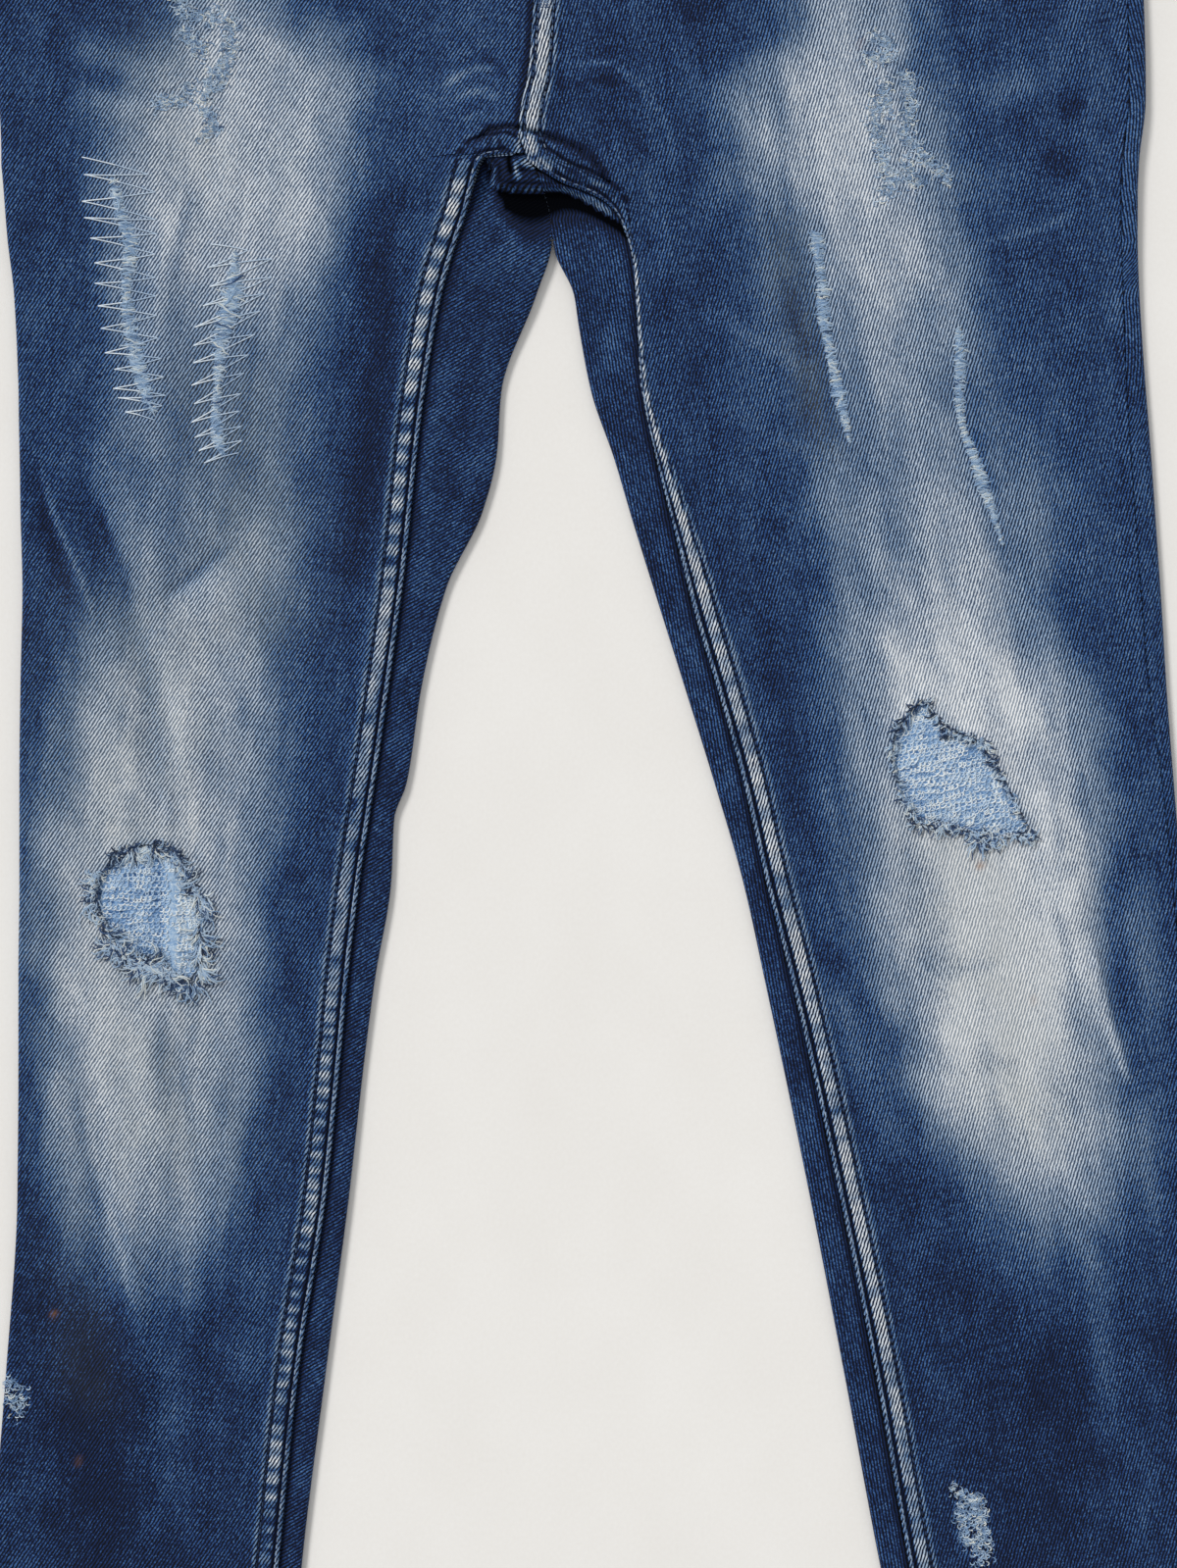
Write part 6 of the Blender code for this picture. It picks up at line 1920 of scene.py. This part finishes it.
def zipSliderPiece():
    # A flat rounded slider at the closed top: a squashed ball with a boxy outline and a waist.
    u, v = np.meshgrid(np.linspace(-math.pi, math.pi, 33), np.linspace(-math.pi / 2, math.pi / 2, 13),
                       indexing="ij")
    ring = np.abs(np.cos(v)) ** 0.4
    across = np.sign(np.cos(u)) * np.abs(np.cos(u)) ** 0.6 * ring
    along = np.sign(np.sin(u)) * np.abs(np.sin(u)) ** 0.6 * ring
    middle = column(centreLine, "front", zipSlider["level"])
    x = middle + across * zipSlider["width"] / 2 * (0.86 + 0.14 * along)
    y = zipSlider["level"] + along * zipSlider["length"] / 2
    z = topside(x, y) - zipFly["drop"] + 0.2 + zipSlider["height"] * np.sin(v)
    rows, columns = x.shape
    index = np.arange(rows * columns).reshape(rows, columns)
    faces = np.stack([index[:-1, :-1], index[1:, :-1], index[1:, 1:], index[:-1, 1:]], -1).reshape(-1, 4)
    piece = newMesh("zip_slider", np.stack([x, y, z], -1).reshape(-1, 3), faces, finishes["metal"])
    place(piece, "button_metal")


waistButton = dict(
    radius=8.5, shank=3.4, foot=10.4, rim=11.4, top=13.8, steps=64,
    face=((6.9, 13.75), (6.4, 13.4), (5.9, 13.15), (5.2, 13.15), (4.9, 13.35), (4.5, 13.35), (4.2, 13.15),
          (2.4, 13.05), (0, 13.0)),
)


def buttonPiece():
    # A turned shank button: the profile from the shank's foot out round the rim to a dished, ringed face.
    b = waistButton
    x = column(centreLine, "front", cut["waist"]) + 2
    y = bandLevel(x, False) + cut["bandWidth"] / 2
    turn = np.linspace(0, math.pi / 2, 6)
    under = [(b["shank"], b["foot"]), (b["shank"], b["rim"]), (b["radius"] - 0.8, b["rim"])]
    low = [(b["radius"] - 0.8 + 0.8 * math.sin(a), b["rim"] + 0.8 - 0.8 * math.cos(a)) for a in turn[1:]]
    high = [(b["radius"] - 0.9 + 0.9 * math.cos(a), b["top"] - 0.9 + 0.9 * math.sin(a)) for a in turn]
    profile = np.array([(0, b["foot"])] + under + low + high + list(b["face"]))
    angle = np.arange(b["steps"]) * 2 * math.pi / b["steps"]
    ring = np.stack([x + profile[:, :1] * np.cos(angle), y + profile[:, :1] * np.sin(angle),
                     profile[:, 1:] + 0 * angle], -1)
    index = np.arange(len(profile) * b["steps"]).reshape(-1, b["steps"])
    after = np.roll(index, -1, axis=1)
    faces = np.stack([index[:-1], after[:-1], after[1:], index[1:]], -1).reshape(-1, 4)
    piece = newMesh("waist_button", ring.reshape(-1, 3), faces, finishes["metal"])
    place(piece, "button_metal", "button")


for loop in beltLoops:
    beltLoopPiece(loop)
for bag in backPockets:
    backPocketPiece(bag["side"], bag["x"])
zipTapePiece()
zipTeethPiece()
zipSliderPiece()
buttonPiece()
print("loops, pockets, zip and button made")


# The threads, how far the two rows of each seam lie from their line, and how high the outer rows of the
# inseams go.
stitch = dict(
    pitch=3.3, length=2.5, radius=0.33, points=5, hemLevel=10.8,
    rightRows=(1.8, 10.7), leftRows=(1.7, 10.9), centreRows=(-2.8, -10.2), mouthRows=(2, 8),
    seatRows=(2.2, 8.8), yokeRows=(2.0, 8.8), pocketRows=(2.4, 8.4), outerTop=dict(right=36, left=8),
    archMiddle=-16,
)


def offsetLine(line, distance):
    # The line moved sideways, to its left where the distance is above 0.
    line = np.asarray(line, float)
    ahead = np.gradient(line, axis=0)
    ahead /= np.linalg.norm(ahead, axis=1, keepdims=True)
    return line + distance * np.stack([-ahead[:, 1], ahead[:, 0]], axis=1)


def stitchRows(name, rows, faceOf, seed, up=1.0, pale=None):
    # Lockstitches as one mesh: short threads laid end to end along each row, each bowed out of the cloth.
    rng = np.random.default_rng(seed)
    centres, ways, means = [], [], []
    for line, mean in zip(rows, pale or [0.5] * len(rows)):
        dots, _ = resample(line, stitch["pitch"])
        centres.append((dots[:-1] + dots[1:]) / 2)
        step = dots[1:] - dots[:-1]
        ways.append(step / np.maximum(np.linalg.norm(step, axis=1, keepdims=True), 1e-9))
        means.append(np.full(len(step), mean))
    centres, ways, means = np.concatenate(centres), np.concatenate(ways), np.concatenate(means)
    t = np.linspace(-0.5, 0.5, stitch["points"])
    xy = centres[:, None] + ways[:, None] * (t[None] * stitch["length"])[..., None]
    x, y = xy[..., 0], xy[..., 1]
    z = faceOf(x, y) + up * (0.24 * (1 - (2 * t) ** 4) - 0.16)
    radius = stitch["radius"] * (1 - 0.45 * np.abs(2 * t) ** 3) * rng.uniform(0.85, 1.15, (len(x), 1))
    tone = np.clip(rng.normal(means, 0.05 + 0.3 * means), 0.02, 1)
    threads(name, "topstitch", "stitch", (x, y, z), radius, tone, 4)


def rowsBeside(line, distances):
    # The line moved sideways by each of the distances.
    return [offsetLine(line, distance) for distance in distances]


def hemLine(side, under=False):
    # The row above the hem, across the front or the underside of a leg, which tilts as the hem does.
    half = halves[side]
    start = column(half["data"], "fold" if under else "edge", cut["hem"])
    end = column(half["data"], "outer" if under else half["seam"], cut["hem"])
    x = np.linspace(start, end, 40)[2:-2]
    return np.stack([x, cut["hem"] + half["tilt"] * (x - half["hemMiddle"]) + stitch["hemLevel"]], axis=1)


def mouthLine(side, distance):
    # A row beside the pocket mouth, on the front's side of it.
    rows, inward = mouthRows(side)
    way = 1 if side == "right" else -1
    edge = meet(rows, lambda y: column(halves[side]["data"], halves[side]["seam"], y)) + way * inward
    line = np.stack([edge, rows["y"] + rows["slope"] * (edge - rows["x"])], axis=1)[1:-1]
    return offsetLine(line, way * -distance)


def flyLine(inset):
    # Down beside the fly, then round a quarter of an ellipse to its foot.
    level = np.linspace(150, 216, 12)
    straight = np.stack([column(centreLine, "front", level) + 40 - inset, level], axis=1)
    angle = np.linspace(0, math.pi / 2, 12)
    hook = np.stack([-5 + (41 - inset) * np.cos(angle), 150 - (34 - inset) * np.sin(angle)], axis=1)
    return np.concatenate([straight[::-1], hook[1:]])


def bartack(x, y, width, height):
    # Three short rows close together, as a bar of thick stitches.
    return [np.array([(x, y + k * height), (x + width, y + k * height)]) for k in (0, 0.5, 1)]


def bandTop(x, y):
    # The front of the waistband: raised where the left end laps over the right one.
    centre = column(centreLine, "front", cut["waist"] + cut["bandWidth"] / 2)
    lapStart = centre + cut["lapUnder"] + cut["lapClear"] + cut["lapRamp"]
    lap = smooth((lapStart - x) / cut["lapRamp"]) * (x > centre - cut["lapOver"])
    return cut["bandHeight"] + (cut["bandWall"] + band["clearance"]) * lap - 0.25


def bandRows(back):
    # Along both edges of the waistband, on the front in two runs that stop at the lap.
    rows = []
    x = np.linspace(-232, 246, 120)
    edge = column(centreLine, "front", cut["waist"]) - cut["lapOver"]
    for inset in (band["stitchInset"], cut["bandWidth"] - band["stitchInset"]):
        line = np.stack([x, bandLevel(x, back) + inset], axis=1)
        rows += [line] if back else [line[x < edge - 1], line[x > edge + 1]]
    return rows


def yokeRows(side):
    # Two rows on the yoke, above its sewn edge.
    outer, centre = column(halves[side]["data"], "outer", 193.0), column(centreLine, "back", 168.0)
    share = np.linspace(0.02, 0.98, 40)
    x = centre + (outer - centre) * share
    y = cut["yokeCentre"] + (cut["yokeSide"] - cut["yokeCentre"]) * share
    return [np.stack([x, y + up], axis=1) for up in stitch["yokeRows"]]


def pocketRows(middle):
    # Down one side of a back pocket, round its point and up the other, twice, and one row along its hem.
    rows = []
    for inset in stitch["pocketRows"]:
        u = np.linspace(-1, 1, 41)
        half = pocketHalf(pocket["foot"]) - inset
        sideLevels = np.linspace(pocket["top"] - 1, pocket["foot"] + inset, 30)
        down = np.stack([middle - pocketHalf(sideLevels) + inset, sideLevels], axis=1)
        foot = np.stack([middle + u * half, pocketFoot(u) + inset], axis=1)
        up = np.stack([middle + pocketHalf(sideLevels[::-1]) - inset, sideLevels[::-1]], axis=1)
        rows.append(np.concatenate([down, foot, up]))
    level = pocket["top"] - pocket["hem"] + 2
    half = pocketHalf(level) - 2
    return rows + [np.array([(middle - half, level), (middle + half, level)])]


def loopRows(back):
    # Two rows along each belt loop and a bar across each end.
    rows = []
    for loop in beltLoops:
        if loop["back"] != back:
            continue
        low = bandLevel(loop["x"], back) - beltLoop["tail"]
        for way in (-1, 1):
            x = loop["x"] + way * 0.62 * beltLoop["width"] / 2
            rows.append(np.array([(x, low + 1), (x, low + beltLoop["length"] - 1)]))
        for level in (low + 1.5, low + beltLoop["length"] - 3):
            rows += bartack(loop["x"] - 4.6, level, 9.2, 1.2)
    return rows


def seamStitches():
    # Beside the seat seam, on the left back.
    level = np.linspace(6, 166, 60)
    seamX = column(centreLine, "back", level)
    return [np.stack([seamX + away, level], axis=1) for away in stitch["seatRows"]]


def inseamStitches():
    # Two rows beside each inseam, where the outer ones sink into the arch's groove further up, and the arch
    # itself. On the left they draw together as the band narrows.
    edge = legEdges["left"]
    scale = column(leftBandScale, "scale", edge[:, 1])[:, None]
    left = [edge + scale * (offsetLine(edge, -away) - edge) for away in stitch["leftRows"]]
    left[1] = left[1][edge[:, 1] < stitch["outerTop"]["left"]]
    right = rowsBeside(legEdges["right"], stitch["rightRows"])
    right[1] = right[1][legEdges["right"][:, 1] < stitch["outerTop"]["right"]]
    arch = resample(crotchGroove, 2.0)[0]
    right.append(arch[arch[:, 0] < stitch["archMiddle"]])
    left.append(arch[arch[:, 0] > stitch["archMiddle"]])
    return right, left


def rightFace(x, y):
    # The right front's outer face.
    return frontHeight(x, y, "right")


def leftFace(x, y):
    # The left front's outer face, which carries the fly too.
    return frontHeight(x, y, "left")


def flatFace(height):
    # A face at one height all over.
    return lambda x, y: height + 0 * x


def allStitches():
    # Every row of stitches on the face it was sewn through; a last -1 is for the rows underneath.
    right, left = inseamStitches()
    stitchRows("inseam_topstitch_right", right, rightFace, 101, pale=(0.8, 0.2, 0.02))
    stitchRows("inseam_topstitch_left", left, leftFace, 102, pale=(0.7, 0.2, 0.02))
    stitchRows("hem_topstitch_right", [hemLine("right")], rightFace, 106)
    stitchRows("hem_topstitch_left", [hemLine("left")], leftFace, 107)
    centre, foot = rowsBeside(centreEdge, stitch["centreRows"]), bartack(-7.5, 113, 7.5, 2.2)
    stitchRows("fly_topstitch", centre + [flyLine(0), flyLine(6)] + foot, leftFace, 103)
    stitchRows("mouth_topstitch_right", [mouthLine("right", away) for away in stitch["mouthRows"]],
               rightFace, 104)
    stitchRows("mouth_topstitch_left", [mouthLine("left", away) for away in stitch["mouthRows"]],
               leftFace, 105)
    stitchRows("band_topstitch_front", bandRows(False), bandTop, 108)
    stitchRows("band_topstitch_back", bandRows(True), flatFace(cut["seatLift"] + 0.25), 109, -1)
    stitchRows("loop_topstitch_front", loopRows(False), flatFace(beltLoop["frontTop"] - 0.2), 110)
    stitchRows("loop_topstitch_back", loopRows(True), flatFace(0.22), 111, -1)
    stitchRows("seat_topstitch", seamStitches(), underHeight, 112, -1)
    for k, bag in enumerate(backPockets):
        stitchRows("yoke_topstitch_" + bag["side"], yokeRows(bag["side"]), underHeight, 113 + k, -1)
        stitchRows("pocket_topstitch_" + bag["side"], pocketRows(bag["x"]), flatFace(0.27), 115 + k, -1)
        stitchRows("hem_topstitch_under_" + bag["side"], [hemLine(bag["side"], True)],
                   underHeight, 117 + k, -1)


allStitches()
print("topstitches made")


def studio():
    # A pale smooth floor, an even white sky and one large soft lamp from the upper left.
    bpy.ops.mesh.primitive_plane_add(size=6, location=(0, 0, -0.0003))
    floor = bpy.context.object
    floor.name = "floor"
    made, tree, shader = newMaterial("pale cotton backdrop", 0.9)
    spot = addNode(tree, "TexCoord").outputs["Object"]
    layers = dict(thread=dict(size=(1.6, 2.4), amount=0.3), cloud=dict(size=(60, 80), amount=0.3))
    tone, _ = layered(tree, spot, 0.5, layers)
    colour = addNode(tree, "ValToRGB", (tone,), stops=((0.2, "#f3efe9"), (0.8, "#faf7f2")))
    tree.links.new(colour.outputs["Color"], shader.inputs["Base Color"])
    floor.data.materials.append(made)
    world = bpy.data.worlds.new("soft daylight")
    bpy.context.scene.world = world
    world.use_nodes = True
    world.node_tree.nodes["Background"].inputs["Color"].default_value = linear("#f8fafc")
    world.node_tree.nodes["Background"].inputs["Strength"].default_value = 0.52
    lamp = bpy.data.lights.new("window", "SUN")
    lamp.energy = 1.95
    lamp.angle = math.radians(16)
    sun = bpy.data.objects.new("window", lamp)
    sun.rotation_euler = (math.radians(-34), math.radians(-40), 0)
    bpy.context.scene.collection.objects.link(sun)


def camera():
    # Straight above the knees and crotch; the view's height is the sensor's long side.
    viewHeight, distance, clothHeight = 0.7675, 1.25, 0.006
    lens = bpy.data.cameras.new("camera")
    lens.sensor_width = 36
    lens.lens = 36 * distance / viewHeight
    made = bpy.data.objects.new("camera", lens)
    centre = np.array([17.8, -266.2, 0]) * mm + draftShift
    made.location = (centre[0], centre[1], distance + clothHeight)
    bpy.context.scene.collection.objects.link(made)
    bpy.context.scene.camera = made


studio()
camera()
bpy.context.scene.view_settings.view_transform = "Standard"
